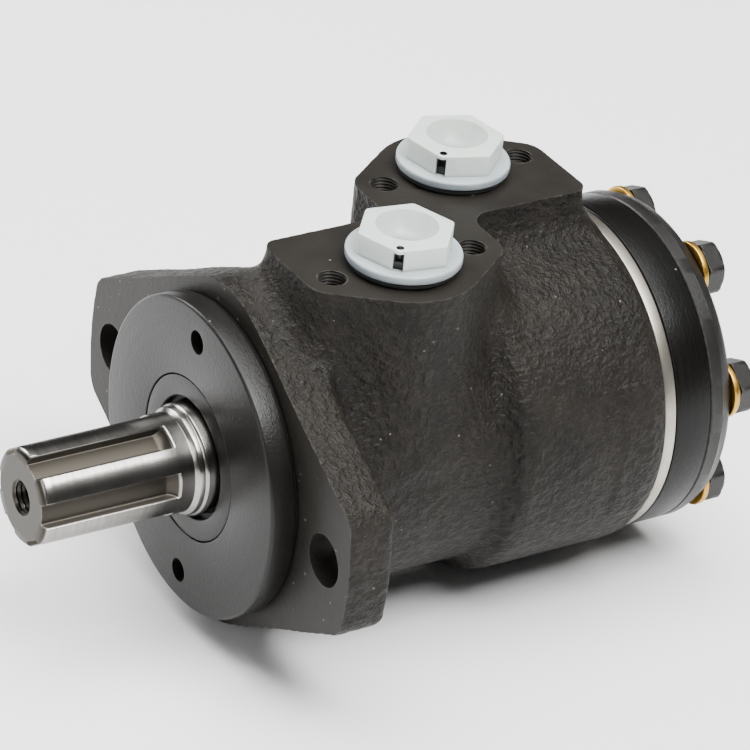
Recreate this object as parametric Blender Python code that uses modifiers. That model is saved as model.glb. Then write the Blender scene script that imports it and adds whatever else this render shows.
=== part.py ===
"""Orbital hydraulic motor with a two-bolt flange, a splined shaft and two plugged ports.

The shaft axis runs along X. The splined end points to -X, the end cover to +X and the ports to +Z.
The origin lies on the shaft axis, in the plane of the flange's mounting face. Lengths are in metres.
Stations named *_X count from that face along the shaft axis, and radii from the axis.
"""
import math

import bmesh
import bpy
from mathutils import Matrix, Vector

# Clearances
GAP = 0.0003
RUNNING = 0.00025

# Mounting flange
FLANGE_THICK = 0.0125
FLANGE_SIDE = 0.0441
FLANGE_SLOPE = math.radians(29.0)
FLANGE_END_R = 0.0652
FLANGE_APEX_R = 0.027
FLANGE_CORNER_R = 0.0065
MOUNT_HOLE_R = 0.00675
MOUNT_HOLE_Y = 0.0532

# Housing
HOUSING_REAR_X = 0.1056
NECK_R = 0.0400
BARREL_R = 0.0446
BARREL_X = 0.0605
STACK_R = 0.0433
FRONT_BORE_R = 0.0292
FRONT_BORE_X = 0.0125
SPOOL_BORE_R = 0.0180
PORT_GROOVE_R = 0.0240
PORT_GROOVE_WIDTH = 0.0080

# Port block
BLOCK_X = 0.0561
BLOCK_TOP = 0.0553
BLOCK_FOOT = 0.0120
PORT_DX = 0.01828
PORT_DY = 0.0179
LOBE_END = 0.0275
LOBE_BOSS_R = 0.0193
LOBE_END_R = 0.0076
LOBE_BACK = 0.0217
LOBE_BACK_R = 0.0040
NOTCH_R = 0.0060
TAP_SPACING = 0.0200
TAP_R = 0.0035
TAP_MOUTH_R = 0.0041
TAP_DEPTH = 0.0130
PORT_BORE_R = 0.0105
PORT_BORE_DEPTH = 0.0150
PASSAGE_R = 0.0038
PASSAGE_Y = 0.0145
PASSAGE_FOOT = 0.0140

# Drain boss, on the +Y side
DRAIN_X = 0.0260
DRAIN_BOSS_R = 0.0110
DRAIN_FACE_Y = 0.0440
DRAIN_BORE_R = 0.0066
DRAIN_BORE_DEPTH = 0.0100
DRAIN_WAY_R = 0.0025

# Gear set
LOBES = 7
LOBE_CENTRE_R = 0.0300
LOBE_R = 0.0080
ECCENTRICITY = 0.0030
CHAMBER_R = 0.02835
GEAR_THICK = 0.0104
PLATE_THICK = 0.0033
PLATE_HOLE_R = 0.0155
CHANNEL_PCR = 0.0270
CHANNEL_R = 0.0022
PLATE_PORT_PCR = 0.0260
PLATE_PORT_R = 0.0025
WINDOW_R = 0.0018
END_COVER_THICK = 0.0068
END_CHAMFER_X = 0.0030
END_CHAMFER_R = 0.0020
RING_SEAL_PCR = 0.0304
RING_SEAL_R = 0.0005
RING_GROOVE_WIDTH = 0.0016
RING_GROOVE_DEPTH = 0.0012

# Front cover and seals
COVER_R = 0.04125
COVER_THICK = 0.00745
COVER_SPIGOT_X = 0.0050
COVER_BORE_R = 0.0158
SEAL_SEAT_R = 0.0215
RETAINER_THICK = 0.0023
DUST_SEAL_THICK = 0.0026
SHAFT_SEAL_THICK = 0.0042
COVER_HOLE_PCR = 0.0332
COVER_HOLE_R = 0.0031
COVER_HOLE_DEPTH = 0.0050

# Output shaft
SHAFT_TIP_X = -0.0540
SPLINE_R = 0.0127
SPLINE_ROOT_R = 0.0108
SPLINE_TEETH = 6
SPLINE_WIDTH = 0.00635
SPLINE_PHASE = math.radians(-6.0)
SPLINE_FULL_X = -0.0195
SPLINE_RUNOUT_X = -0.0165
TIP_CHAMFER = 0.0011
COLLAR_R = 0.01425
COLLAR_X = -0.0115
SHOULDER_R = 0.0260
END_HOLE_R = 0.0042
END_HOLE_DEPTH = 0.0220
SPOOL_GROOVE_DEPTH = 0.0027
SPOOL_SLOT_DEPTH = 0.0020
SPOOL_SLOT_WIDTH = 0.0032
CARDAN_WELL_R = 0.0125

# Cardan shaft
COUPLING_TEETH = 10
COUPLING_TIP_R = 0.0118
COUPLING_ROOT_R = 0.0093
COUPLING_PLAY = 0.0004
COUPLING_FRONT_X = 0.0570
COUPLING_FRONT_HALF = 0.0060
COUPLING_REAR_HALF = 0.0031
CARDAN_R = 0.0080
SPACER_THICK = 0.0030

# Bolts and washers
BOLT_PCR = 0.0360
BOLT_R = 0.0040
BOLT_HOLE_R = BOLT_R + GAP
BOLT_REACH = 0.0130
BOLT_FLATS = 0.0130
BOLT_HEAD = 0.0055
WASHER_R = 0.0076
WASHER_THICK = 0.0016

# Port plugs
PLUG_DISC_R = 0.0145
PLUG_DISC_THICK = 0.0022
PLUG_HEX_FLATS = 0.0220
PLUG_HEX_HIGH = 0.0059
PLUG_BODY_R = PORT_BORE_R - GAP
PLUG_BODY_DEEP = 0.0125
PLUG_WALL = 0.0022
PLUG_WELL_R = 0.0080
PLUG_SEAL_R = 0.0138
PLUG_SEAL_THICK = 0.0012
PLUG_TURN = {"front": math.radians(-9.7), "rear": math.radians(-19.0)}
PLUG_SLOT_WIDTH = 0.0026
PLUG_VENT_R = 0.0010

# Drain plug
DRAIN_HEAD_R = 0.0095
DRAIN_HEAD_THICK = 0.0050
DRAIN_STEM_R = DRAIN_BORE_R - GAP
DRAIN_STEM_DEEP = 0.0080
DRAIN_SOCKET_FLATS = 0.0060
DRAIN_WASHER_THICK = 0.0015

# Stations that follow from the sizes above
COVER_FRONT_X = -GAP - COVER_THICK
RACE_X = COVER_SPIGOT_X + GAP
RACE_THICK = 0.0015
CAGE_X = RACE_X + RACE_THICK + GAP
CAGE_THICK = 0.0020
SHOULDER_X = CAGE_X + CAGE_THICK + GAP
PLATE_X = HOUSING_REAR_X + GAP
GEAR_X = PLATE_X + PLATE_THICK + GAP
COUPLING_REAR_X = GEAR_X + 0.0035
END_COVER_X = GEAR_X + GEAR_THICK + GAP
END_FACE_X = END_COVER_X + END_COVER_THICK
HEAD_X = END_FACE_X + 2 * GAP + WASHER_THICK
TILT = math.atan2(ECCENTRICITY, COUPLING_REAR_X - COUPLING_FRONT_X)
AXIAL = (0.0, math.pi / 2, 0.0)


def clear_scene():
    for obj in list(bpy.data.objects):
        bpy.data.objects.remove(obj, do_unlink=True)


def collection(name):
    made = bpy.data.collections.new(name)
    bpy.context.scene.collection.children.link(made)
    return made


def material(name, colour, metallic, roughness):
    made = bpy.data.materials.new(name)
    made.use_nodes = True
    shader = made.node_tree.nodes["Principled BSDF"]
    shader.inputs["Base Color"].default_value = (*colour, 1.0)
    shader.inputs["Metallic"].default_value = metallic
    shader.inputs["Roughness"].default_value = roughness
    return made


clear_scene()
PARTS = collection("hydraulic_motor")
CUTTERS = collection("cutters")
CAST = material("cast_iron", (0.030, 0.027, 0.025), 0.2, 0.55)
COVER_STEEL = material("cover_steel", (0.045, 0.042, 0.040), 0.4, 0.45)
GROUND = material("ground_steel", (0.60, 0.59, 0.57), 1.0, 0.25)
BRIGHT = material("plate_steel", (0.62, 0.60, 0.56), 1.0, 0.32)
BLACKED = material("gear_ring_steel", (0.020, 0.020, 0.021), 0.5, 0.38)
BOLT_STEEL = material("bolt_steel", (0.018, 0.018, 0.019), 0.5, 0.42)
BRASS = material("washer_brass", (0.62, 0.42, 0.14), 1.0, 0.35)
RUBBER = material("seal_rubber", (0.012, 0.012, 0.013), 0.0, 0.70)
PLASTIC = material("plug_plastic", (0.80, 0.83, 0.82), 0.0, 0.42)


def add(name, mesh, group, station=0.0, y=0.0, z=0.0, turn=AXIAL):
    obj = bpy.data.objects.new(name, mesh)
    obj.location = (station, y, z)
    obj.rotation_euler = turn
    group.objects.link(obj)
    if group is CUTTERS:
        obj.hide_render = True
        obj.display_type = "WIRE"
    return obj


def turned(name, profile, steps, group, **where):
    """A shape turned about its own Z from (height, radius) points, closed on the axis or as a ring."""
    points = [(radius, height) for height, radius in profile]
    ring = points + points[:1]
    area = sum(a[0] * b[1] - b[0] * a[1] for a, b in zip(ring, ring[1:]))
    if area > 0:
        points.reverse()
    count = len(points)
    on_axis = points[0][0] == 0.0 and points[-1][0] == 0.0
    edges = [(i, i + 1) for i in range(count - 1)]
    if not on_axis:
        edges.append((count - 1, 0))
    mesh = bpy.data.meshes.new(name)
    mesh.from_pydata([(radius, 0.0, height) for radius, height in points], edges, [])
    obj = add(name, mesh, group, **where)
    screw = obj.modifiers.new("turn", "SCREW")
    screw.axis = "Z"
    screw.steps = steps
    screw.render_steps = steps
    screw.use_merge_vertices = True
    screw.merge_threshold = 0.00001
    return obj


def flat(name, outlines, low, high, group, **where):
    """A plate between two heights on its own Z, from an outer outline and the outlines of its holes."""
    curve = bpy.data.curves.new(name, "CURVE")
    curve.dimensions = "2D"
    curve.fill_mode = "BOTH"
    curve.extrude = (high - low) / 2
    for outline in outlines:
        spline = curve.splines.new("POLY")
        spline.points.add(len(outline) - 1)
        for point, (x, y) in zip(spline.points, outline):
            point.co = (x, y, 0.0, 1.0)
        spline.use_cyclic_u = True
    drawn = bpy.data.objects.new(name, curve)
    mesh = bpy.data.meshes.new_from_object(drawn)
    bpy.data.objects.remove(drawn)
    bpy.data.curves.remove(curve)
    shape = bmesh.new()
    shape.from_mesh(mesh)
    bmesh.ops.remove_doubles(shape, verts=shape.verts, dist=1e-7)
    bmesh.ops.translate(shape, verts=shape.verts, vec=(0.0, 0.0, (low + high) / 2))
    bmesh.ops.recalc_face_normals(shape, faces=shape.faces)
    shape.to_mesh(mesh)
    shape.free()
    mesh.name = name
    return add(name, mesh, group, **where)


def drills(name, holes, steps, group, **where):
    """Round cutters, each given by its centre, its direction, its two ends along it and its radius."""
    shape = bmesh.new()
    for centre, direction, low, high, radius in holes:
        aim = Vector(direction).to_track_quat("Z", "Y").to_matrix().to_4x4()
        middle = Vector(centre) + Vector(direction) * (low + high) / 2
        bmesh.ops.create_cone(
            shape,
            cap_ends=True,
            segments=steps,
            radius1=radius,
            radius2=radius,
            depth=high - low,
            matrix=Matrix.Translation(middle) @ aim,
        )
    mesh = bpy.data.meshes.new(name)
    shape.to_mesh(mesh)
    shape.free()
    return add(name, mesh, group, **where)


def loft(name, sections, group, **where):
    """A closed body through loops of (x, y, height) points that have the same count."""
    count = len(sections[0])
    shape = bmesh.new()
    rings = [[shape.verts.new(point) for point in section] for section in sections]
    for ring, above in zip(rings, rings[1:]):
        for i in range(count):
            shape.faces.new((ring[i], ring[(i + 1) % count], above[(i + 1) % count], above[i]))
    shape.faces.new(rings[0])
    shape.faces.new(rings[-1])
    bmesh.ops.recalc_face_normals(shape, faces=shape.faces)
    mesh = bpy.data.meshes.new(name)
    shape.to_mesh(mesh)
    shape.free()
    return add(name, mesh, group, **where)


def combine(target, other, operation):
    step = target.modifiers.new(other.name, "BOOLEAN")
    step.operation = operation
    step.solver = "EXACT"
    step.object = other


def cut(target, *others):
    for other in others:
        combine(target, other, "DIFFERENCE")


def join(target, *others):
    for other in others:
        combine(target, other, "UNION")


def circle(radius, steps, centre=(0.0, 0.0), phase=0.0):
    turn = [phase + 2 * math.pi * i / steps for i in range(steps)]
    return [(centre[0] + radius * math.cos(a), centre[1] + radius * math.sin(a)) for a in turn]


def around(radius, offset=0.0):
    """Centres of the seven stations on a pitch circle, the first one at the bottom of the motor."""
    turn = [2 * math.pi * (i + offset) / LOBES for i in range(LOBES)]
    return [(radius * math.cos(a), radius * math.sin(a)) for a in turn]


def rounded(corners, fineness=math.radians(9.0)):
    """An outline whose corners (x, y, radius) are replaced by arcs that meet both sides smoothly."""
    points = []
    count = len(corners)
    for i, (x, y, radius) in enumerate(corners):
        here = Vector((x, y))
        back = (Vector(corners[i - 1][:2]) - here).normalized()
        ahead = (Vector(corners[(i + 1) % count][:2]) - here).normalized()
        half = back.angle(ahead) / 2
        centre = here + (back + ahead).normalized() * radius / math.sin(half)
        first = here + back * radius / math.tan(half) - centre
        sweep = first.angle_signed(here + ahead * radius / math.tan(half) - centre)
        steps = max(2, math.ceil(abs(sweep) / fineness))
        for k in range(steps + 1):
            arm = first.copy()
            arm.rotate(Matrix.Rotation(-sweep * k / steps, 2))
            points.append(tuple(centre + arm))
    return points


def tidy(obj, finish):
    """Keeps the evaluated shape as the object's own mesh, shaded smooth up to its sharp edges."""
    bpy.context.view_layer.update()
    graph = bpy.context.evaluated_depsgraph_get()
    mesh = bpy.data.meshes.new_from_object(obj.evaluated_get(graph))
    obj.modifiers.clear()
    obj.data = mesh
    mesh.name = obj.name
    mesh.materials.clear()
    mesh.materials.append(finish)
    mesh.shade_smooth()
    mesh.set_sharp_from_angle(angle=math.radians(32.0))
    return obj


def copy_of(obj, name, station, y, z, turn=AXIAL):
    return add(name, obj.data, PARTS, station=station, y=y, z=z, turn=turn)


def flange_outline():
    """Two-bolt outline: straight sides that meet at a round apex, and ends on an arc about the shaft."""
    apex = FLANGE_SIDE / math.cos(FLANGE_SLOPE)
    side = math.radians(14.0)
    end = (FLANGE_END_R * math.cos(side), FLANGE_END_R * math.sin(side))
    upper = [
        (end[0], end[1], FLANGE_CORNER_R),
        (0.0, apex, FLANGE_APEX_R),
        (-end[0], end[1], FLANGE_CORNER_R),
        (-FLANGE_END_R - 0.0002, 0.0, FLANGE_END_R),
    ]
    corners = upper + [(-x, -y, radius) for x, y, radius in upper]
    return [(-y, x) for x, y in rounded(corners, math.radians(10.0))]


def lobe_corners():
    """One port lobe, counted from its port: a square back edge, and a front that follows the boss."""
    slope = math.asin((LOBE_BOSS_R - LOBE_END_R) / TAP_SPACING)
    tip = LOBE_BOSS_R / math.cos(slope)
    shoulder = (LOBE_END * math.sin(slope) - LOBE_BOSS_R) / math.cos(slope)
    notch = 2 * PORT_DY - LOBE_BACK
    return [
        (-LOBE_END, LOBE_BACK, LOBE_BACK_R),
        (-LOBE_END, shoulder, LOBE_END_R),
        (0.0, -tip, LOBE_BOSS_R),
        (LOBE_END, shoulder, LOBE_END_R),
        (LOBE_END, notch, NOTCH_R),
    ]


def block_outline():
    """Both lobes, the second one being the first turned half round about the block's middle."""
    front = [(x - PORT_DX, y - PORT_DY, radius) for x, y, radius in lobe_corners()]
    rear = [(-x, -y, radius) for x, y, radius in front]
    return rounded(front + rear, math.radians(15.0))


def ports():
    """The two ports as (name, side): the front one on the -Y side, the rear one on the +Y side."""
    return [("front", -1.0), ("rear", 1.0)]


def build_housing():
    barrel = [
        (0.0020, 0.0),
        (0.0020, 0.0438),
        (FLANGE_THICK + 0.0004, 0.0438),
        (FLANGE_THICK + 0.0020, 0.0414),
        (FLANGE_THICK + 0.0050, NECK_R),
        (BARREL_X - 0.0010, NECK_R),
        (BARREL_X + 0.0010, NECK_R + 0.0014),
        (BARREL_X + 0.0030, BARREL_R - 0.0010),
        (BARREL_X + 0.0052, BARREL_R),
        (HOUSING_REAR_X - 0.0026, BARREL_R),
        (HOUSING_REAR_X, STACK_R),
        (HOUSING_REAR_X, 0.0),
    ]
    housing = turned("housing", barrel, 48, PARTS)
    flange = flat("flange_blank", [flange_outline()], 0.0, FLANGE_THICK, CUTTERS)
    edge = flange.modifiers.new("edge", "BEVEL")
    edge.width = 0.0008
    edge.segments = 1
    edge.limit_method = "ANGLE"
    edge.angle_limit = math.radians(60.0)
    still = (0.0, 0.0, 0.0)
    lobes = [block_outline()]
    block = flat("block_blank", lobes, BLOCK_FOOT, BLOCK_TOP, CUTTERS, station=BLOCK_X, turn=still)
    boss = drills(
        "drain_boss",
        [((DRAIN_X, 0.0, 0.0), (0.0, 1.0, 0.0), 0.0250, DRAIN_FACE_Y, DRAIN_BOSS_R)],
        20,
        CUTTERS,
        turn=still,
    )
    join(housing, flange, block, boss)
    cut(housing, housing_bore(), rear_groove(), rear_holes(), *port_cuts(), side_cuts(), mount_holes())
    return tidy(housing, CAST)


def housing_bore():
    """The spool bore, wider in front for the cover's spigot, with a ring groove beneath each port."""
    profile = [
        (-0.0010, 0.0),
        (-0.0010, FRONT_BORE_R),
        (FRONT_BORE_X, FRONT_BORE_R),
        (FRONT_BORE_X, SPOOL_BORE_R),
    ]
    for side in (-1.0, 1.0):
        station = BLOCK_X + side * PORT_DX
        low = station - PORT_GROOVE_WIDTH / 2
        high = station + PORT_GROOVE_WIDTH / 2
        profile += [(low, SPOOL_BORE_R), (low, PORT_GROOVE_R), (high, PORT_GROOVE_R), (high, SPOOL_BORE_R)]
    profile += [(HOUSING_REAR_X + 0.0010, SPOOL_BORE_R), (HOUSING_REAR_X + 0.0010, 0.0)]
    return turned("bore_cutter", profile, 28, CUTTERS)


def ring_groove(name, low, high):
    inner = RING_SEAL_PCR - RING_GROOVE_WIDTH / 2
    outer = RING_SEAL_PCR + RING_GROOVE_WIDTH / 2
    return turned(name, [(low, inner), (low, outer), (high, outer), (high, inner)], 20, CUTTERS)


def rear_groove():
    return ring_groove("rear_groove_cutter", HOUSING_REAR_X - RING_GROOVE_DEPTH, HOUSING_REAR_X + 0.0010)


def rear_holes():
    """Seven blind holes for the bolts, and seven channels with a radial window each into the spool bore."""
    along = (0.0, 0.0, 1.0)
    far = HOUSING_REAR_X + 0.0010
    floor = HOUSING_REAR_X - BOLT_REACH - 0.0015
    holes = [((x, y, 0.0), along, floor, far, BOLT_HOLE_R) for x, y in around(BOLT_PCR)]
    holes += [((x, y, 0.0), along, BLOCK_X - WINDOW_R, far, CHANNEL_R) for x, y in around(CHANNEL_PCR, 0.5)]
    middle = (0.0, 0.0, BLOCK_X + 0.0002)
    for x, y in around(1.0, 0.5):
        holes.append((middle, (x, y, 0.0), SPOOL_BORE_R - 0.0020, CHANNEL_PCR, WINDOW_R))
    return drills("rear_hole_cutter", holes, 8, CUTTERS)


def port_cuts():
    """Each port's bore, its passage down to its groove, and the two tapped holes beside it."""
    down = (0.0, 0.0, 1.0)
    bores, taps = [], []
    for _, side in ports():
        x = BLOCK_X + side * PORT_DX
        floor = BLOCK_TOP - PORT_BORE_DEPTH
        bores.append(((x, side * PORT_DY, 0.0), down, floor, BLOCK_TOP + 0.0010, PORT_BORE_R))
        bores.append(((x, side * PASSAGE_Y, 0.0), down, PASSAGE_FOOT, floor + 0.0010, PASSAGE_R))
        for step in (-TAP_SPACING, TAP_SPACING):
            centre = (x + step, side * PORT_DY, 0.0)
            taps.append((centre, down, BLOCK_TOP - TAP_DEPTH, BLOCK_TOP + 0.0010, TAP_R))
            taps.append((centre, down, BLOCK_TOP - 0.0006, BLOCK_TOP + 0.0012, TAP_MOUTH_R))
    still = (0.0, 0.0, 0.0)
    return [
        drills("port_bore_cutter", bores, 20, CUTTERS, turn=still),
        drills("tap_cutter", taps[0::2], 12, CUTTERS, turn=still),
        drills("tap_mouth_cutter", taps[1::2], 12, CUTTERS, turn=still),
    ]


def side_cuts():
    """The drain bore in its boss, and the narrow way from it to the spool bore."""
    side = (0.0, 1.0, 0.0)
    start = (DRAIN_X, 0.0, 0.0)
    holes = [
        (start, side, DRAIN_FACE_Y - DRAIN_BORE_DEPTH, DRAIN_FACE_Y + 0.0010, DRAIN_BORE_R),
        (start, side, SPOOL_BORE_R - 0.0020, DRAIN_FACE_Y - DRAIN_BORE_DEPTH + 0.0010, DRAIN_WAY_R),
    ]
    return drills("drain_cutter", holes, 16, CUTTERS, turn=(0.0, 0.0, 0.0))


def mount_holes():
    holes = []
    for side in (-1.0, 1.0):
        centre = (0.0, side * MOUNT_HOLE_Y, 0.0)
        holes.append((centre, (0.0, 0.0, 1.0), -0.0010, FLANGE_THICK + 0.0010, MOUNT_HOLE_R))
    return drills("mount_hole_cutter", holes, 20, CUTTERS)


def build_front_cover():
    spigot = FRONT_BORE_R - GAP
    seat = COVER_FRONT_X + RETAINER_THICK + DUST_SEAL_THICK + 3 * GAP
    rear_seat = COVER_SPIGOT_X - SHAFT_SEAL_THICK - GAP
    profile = [
        (COVER_FRONT_X, SEAL_SEAT_R),
        (COVER_FRONT_X, COVER_R - 0.0005),
        (COVER_FRONT_X + 0.0005, COVER_R),
        (-GAP, COVER_R),
        (-GAP, spigot),
        (0.0013, spigot),
        (0.0013, spigot - 0.0020),
        (0.0035, spigot - 0.0020),
        (0.0035, spigot),
        (COVER_SPIGOT_X, spigot),
        (COVER_SPIGOT_X, SEAL_SEAT_R),
        (rear_seat, SEAL_SEAT_R),
        (rear_seat, COVER_BORE_R),
        (seat, COVER_BORE_R),
        (seat, SEAL_SEAT_R),
    ]
    cover = turned("front_cover", profile, 36, PARTS)
    floor = COVER_FRONT_X + COVER_HOLE_DEPTH
    holes = []
    for x in (-COVER_HOLE_PCR, COVER_HOLE_PCR):
        holes.append(((x, 0.0, 0.0), (0.0, 0.0, 1.0), COVER_FRONT_X - 0.0010, floor, COVER_HOLE_R))
    cut(cover, drills("cover_hole_cutter", holes, 12, CUTTERS))
    return tidy(cover, COVER_STEEL)


def ring(name, low, high, inner, outer, steps, finish):
    profile = [(low, inner), (low, outer), (high, outer), (high, inner)]
    return tidy(turned(name, profile, steps, PARTS), finish)


def build_seals():
    outer = SEAL_SEAT_R - GAP
    retainer_x = COVER_FRONT_X + 0.5 * GAP
    dust_x = retainer_x + RETAINER_THICK + GAP
    seal_x = COVER_SPIGOT_X - SHAFT_SEAL_THICK - 0.5 * GAP
    ring("seal_retainer", retainer_x, retainer_x + RETAINER_THICK, COVER_BORE_R, outer, 32, COVER_STEEL)
    ring("dust_seal", dust_x, dust_x + DUST_SEAL_THICK, COLLAR_R + GAP, outer, 24, RUBBER)
    lip = [
        (seal_x, COLLAR_R + 0.0012),
        (seal_x, outer),
        (seal_x + SHAFT_SEAL_THICK, outer),
        (seal_x + SHAFT_SEAL_THICK, outer - 0.0015),
        (seal_x + 0.0012, outer - 0.0015),
        (seal_x + 0.0012, COLLAR_R + 0.0022),
        (seal_x + SHAFT_SEAL_THICK - 0.0004, COLLAR_R + 0.0012),
        (seal_x + SHAFT_SEAL_THICK - 0.0009, COLLAR_R + GAP),
    ]
    tidy(turned("shaft_seal", lip, 24, PARTS), RUBBER)


def o_ring(name, station, pitch, radius, steps):
    turn = [2 * math.pi * i / 5 for i in range(5)]
    section = [(station + radius * math.sin(a), pitch + radius * math.cos(a)) for a in turn]
    return tidy(turned(name, section, steps, PARTS), RUBBER)


def build_o_rings():
    inset = RING_GROOVE_DEPTH - 0.0002 - RING_SEAL_R
    o_ring("cover_o_ring", 0.0024, FRONT_BORE_R - GAP - 0.0009, 0.0008, 20)
    o_ring("rear_o_ring", HOUSING_REAR_X - inset, RING_SEAL_PCR, RING_SEAL_R, 20)
    o_ring("plate_o_ring", PLATE_X + PLATE_THICK - inset, RING_SEAL_PCR, RING_SEAL_R, 20)
    o_ring("end_o_ring", END_COVER_X + inset, RING_SEAL_PCR, RING_SEAL_R, 20)


def build_thrust_bearing():
    inner = COLLAR_R + 0.0006
    ring("thrust_race", RACE_X, RACE_X + RACE_THICK, inner, FRONT_BORE_R - 0.0015, 20, GROUND)
    ring("thrust_cage", CAGE_X, CAGE_X + CAGE_THICK, inner, FRONT_BORE_R - 0.0030, 20, GROUND)


def build_output_shaft():
    well_x = COUPLING_FRONT_X - COUPLING_FRONT_HALF - 0.0015
    rear_x = HOUSING_REAR_X - 0.0002
    spool = SPOOL_BORE_R - RUNNING
    profile = [
        (SHAFT_TIP_X, 0.0),
        (SHAFT_TIP_X, SPLINE_R - TIP_CHAMFER),
        (SHAFT_TIP_X + TIP_CHAMFER, SPLINE_R),
        (COLLAR_X - 0.0012, SPLINE_R),
        (COLLAR_X, COLLAR_R),
        (SHOULDER_X, COLLAR_R),
        (SHOULDER_X, SHOULDER_R),
        (FRONT_BORE_X - GAP, SHOULDER_R),
        (FRONT_BORE_X - GAP, spool),
        (DRAIN_X - 0.0035, spool),
        (DRAIN_X - 0.0035, spool - 0.0010),
        (DRAIN_X + 0.0035, spool - 0.0010),
        (DRAIN_X + 0.0035, spool),
    ]
    for side in (-1.0, 1.0):
        low = BLOCK_X + side * PORT_DX - PORT_GROOVE_WIDTH / 2
        high = BLOCK_X + side * PORT_DX + PORT_GROOVE_WIDTH / 2
        floor = spool - SPOOL_GROOVE_DEPTH
        profile += [(low, spool), (low, floor), (high, floor), (high, spool)]
    profile += [(rear_x - 0.0006, spool), (rear_x, spool - 0.0006), (rear_x, 0.0)]
    shaft = turned("output_shaft", profile, 36, PARTS)
    cut(
        shaft,
        spline_cutter(),
        shaft_wells(well_x, rear_x),
        coupling_cutter("shaft_coupling_cutter", well_x, COUPLING_FRONT_X + COUPLING_FRONT_HALF + 0.0020),
        spool_slots(spool),
    )
    return tidy(shaft, GROUND)


def spline_cutter():
    """Six grooves between parallel-sided teeth, each ramping out of the shaft at its inner end."""
    pitch = 2 * math.pi / SPLINE_TEETH
    over = SPLINE_R + 0.0020

    def section(station, root, index):
        start = SPLINE_PHASE + index * pitch
        arc = []
        for radius, order in ((root, 1), (over, -1)):
            half = math.asin(SPLINE_WIDTH / 2 / radius)
            low, high = start + half, start + pitch - half
            turn = [low + (high - low) * k / 2 for k in range(3)][::order]
            arc += [(radius * math.cos(a), radius * math.sin(a), station) for a in turn]
        return arc

    grooves = []
    for index in range(SPLINE_TEETH):
        sections = [
            section(SHAFT_TIP_X - 0.0010, SPLINE_ROOT_R, index),
            section(SPLINE_FULL_X, SPLINE_ROOT_R, index),
            section(SPLINE_RUNOUT_X, SPLINE_R + 0.0002, index),
        ]
        grooves.append(loft(f"spline_groove_{index + 1}", sections, CUTTERS))
    first = grooves[0]
    join(first, *grooves[1:])
    return first


def shaft_wells(well_x, rear_x):
    """The tapped hole in the splined end, and the well at the other end that the cardan shaft swings in."""
    along = (0.0, 0.0, 1.0)
    middle = (0.0, 0.0, 0.0)
    holes = [
        (middle, along, SHAFT_TIP_X - 0.0010, SHAFT_TIP_X + END_HOLE_DEPTH, END_HOLE_R),
        (middle, along, COUPLING_FRONT_X + COUPLING_FRONT_HALF + 0.0015, rear_x + 0.0010, CARDAN_WELL_R),
    ]
    return drills("shaft_well_cutter", holes, 20, CUTTERS)


def coupling_outline(tip, root, slack, crown=0.0):
    """Teeth of the cardan couplings, as an outline about the axis: slack widens the teeth on each side."""
    pitch = 2 * math.pi / COUPLING_TEETH
    points = []
    for index in range(COUPLING_TEETH):
        centre = index * pitch
        tip_half = math.radians(6.5) + (slack - crown) / tip
        root_half = math.radians(10.5) + (slack - crown) / root
        points.append((root * math.cos(centre - root_half), root * math.sin(centre - root_half)))
        points.append((tip * math.cos(centre - tip_half), tip * math.sin(centre - tip_half)))
        points.append((tip * math.cos(centre + tip_half), tip * math.sin(centre + tip_half)))
        points.append((root * math.cos(centre + root_half), root * math.sin(centre + root_half)))
    return points


def socket_outline():
    return coupling_outline(COUPLING_TIP_R + COUPLING_PLAY, COUPLING_ROOT_R + 0.0007, COUPLING_PLAY)


def coupling_cutter(name, low, high):
    return flat(name, [socket_outline()], low, high, CUTTERS)


def spool_slots(spool):
    """Twelve shallow slots that reach from the two grooves, turn about, past the windows in the bore."""
    shape = bmesh.new()
    reach = PORT_DX - PORT_GROOVE_WIDTH / 2 + 0.0010
    for index in range(12):
        side = -1.0 if index % 2 else 1.0
        low = BLOCK_X - side * 0.0030
        high = BLOCK_X + side * reach
        aim = Matrix.Rotation(2 * math.pi * index / 12, 4, "Z")
        size = (2 * SPOOL_SLOT_DEPTH, SPOOL_SLOT_WIDTH, abs(high - low))
        shift = Matrix.Translation((spool, 0.0, (low + high) / 2))
        bmesh.ops.create_cube(shape, size=1.0, matrix=aim @ shift @ Matrix.Diagonal((*size, 1.0)))
    mesh = bpy.data.meshes.new("spool_slot_cutter")
    shape.to_mesh(mesh)
    shape.free()
    return add("spool_slot_cutter", mesh, CUTTERS)


def build_cardan_shaft():
    """A shaft with a crowned coupling at each end, tilted so that it joins two axes that are not in line."""
    front, rear = COUPLING_FRONT_HALF, COUPLING_REAR_HALF
    length = (COUPLING_REAR_X - COUPLING_FRONT_X) / math.cos(TILT)

    def toothed(centre, half, step):
        fall = (step * half / COUPLING_FRONT_HALF) ** 2
        tip = COUPLING_TIP_R - 0.0005 * fall
        thin = 0.00034 * abs(step) * half / COUPLING_FRONT_HALF
        outline = coupling_outline(tip, COUPLING_ROOT_R, 0.0, thin)
        return [(x, y, centre + half * step) for x, y in outline]

    def round_section(height, radius):
        outline = coupling_outline(COUPLING_TIP_R, COUPLING_ROOT_R, 0.0)
        return [(x, y, height) for x, y in scaled(outline, radius)]

    sections = [toothed(0.0, front, step) for step in (-1.0, 0.0, 1.0)]
    sections.append(round_section(front + 0.0030, CARDAN_R))
    sections.append(round_section(length - rear - 0.0030, CARDAN_R))
    sections += [toothed(length, rear, step) for step in (-1.0, 0.0, 1.0)]
    lean = (0.0, math.pi / 2 + TILT, 0.0)
    shaft = loft("cardan_shaft", sections, PARTS, station=COUPLING_FRONT_X, turn=lean)
    return tidy(shaft, GROUND)


def scaled(outline, radius):
    """The outline's own directions, all at one radius."""
    return [(radius * x / math.hypot(x, y), radius * y / math.hypot(x, y)) for x, y in outline]


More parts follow.
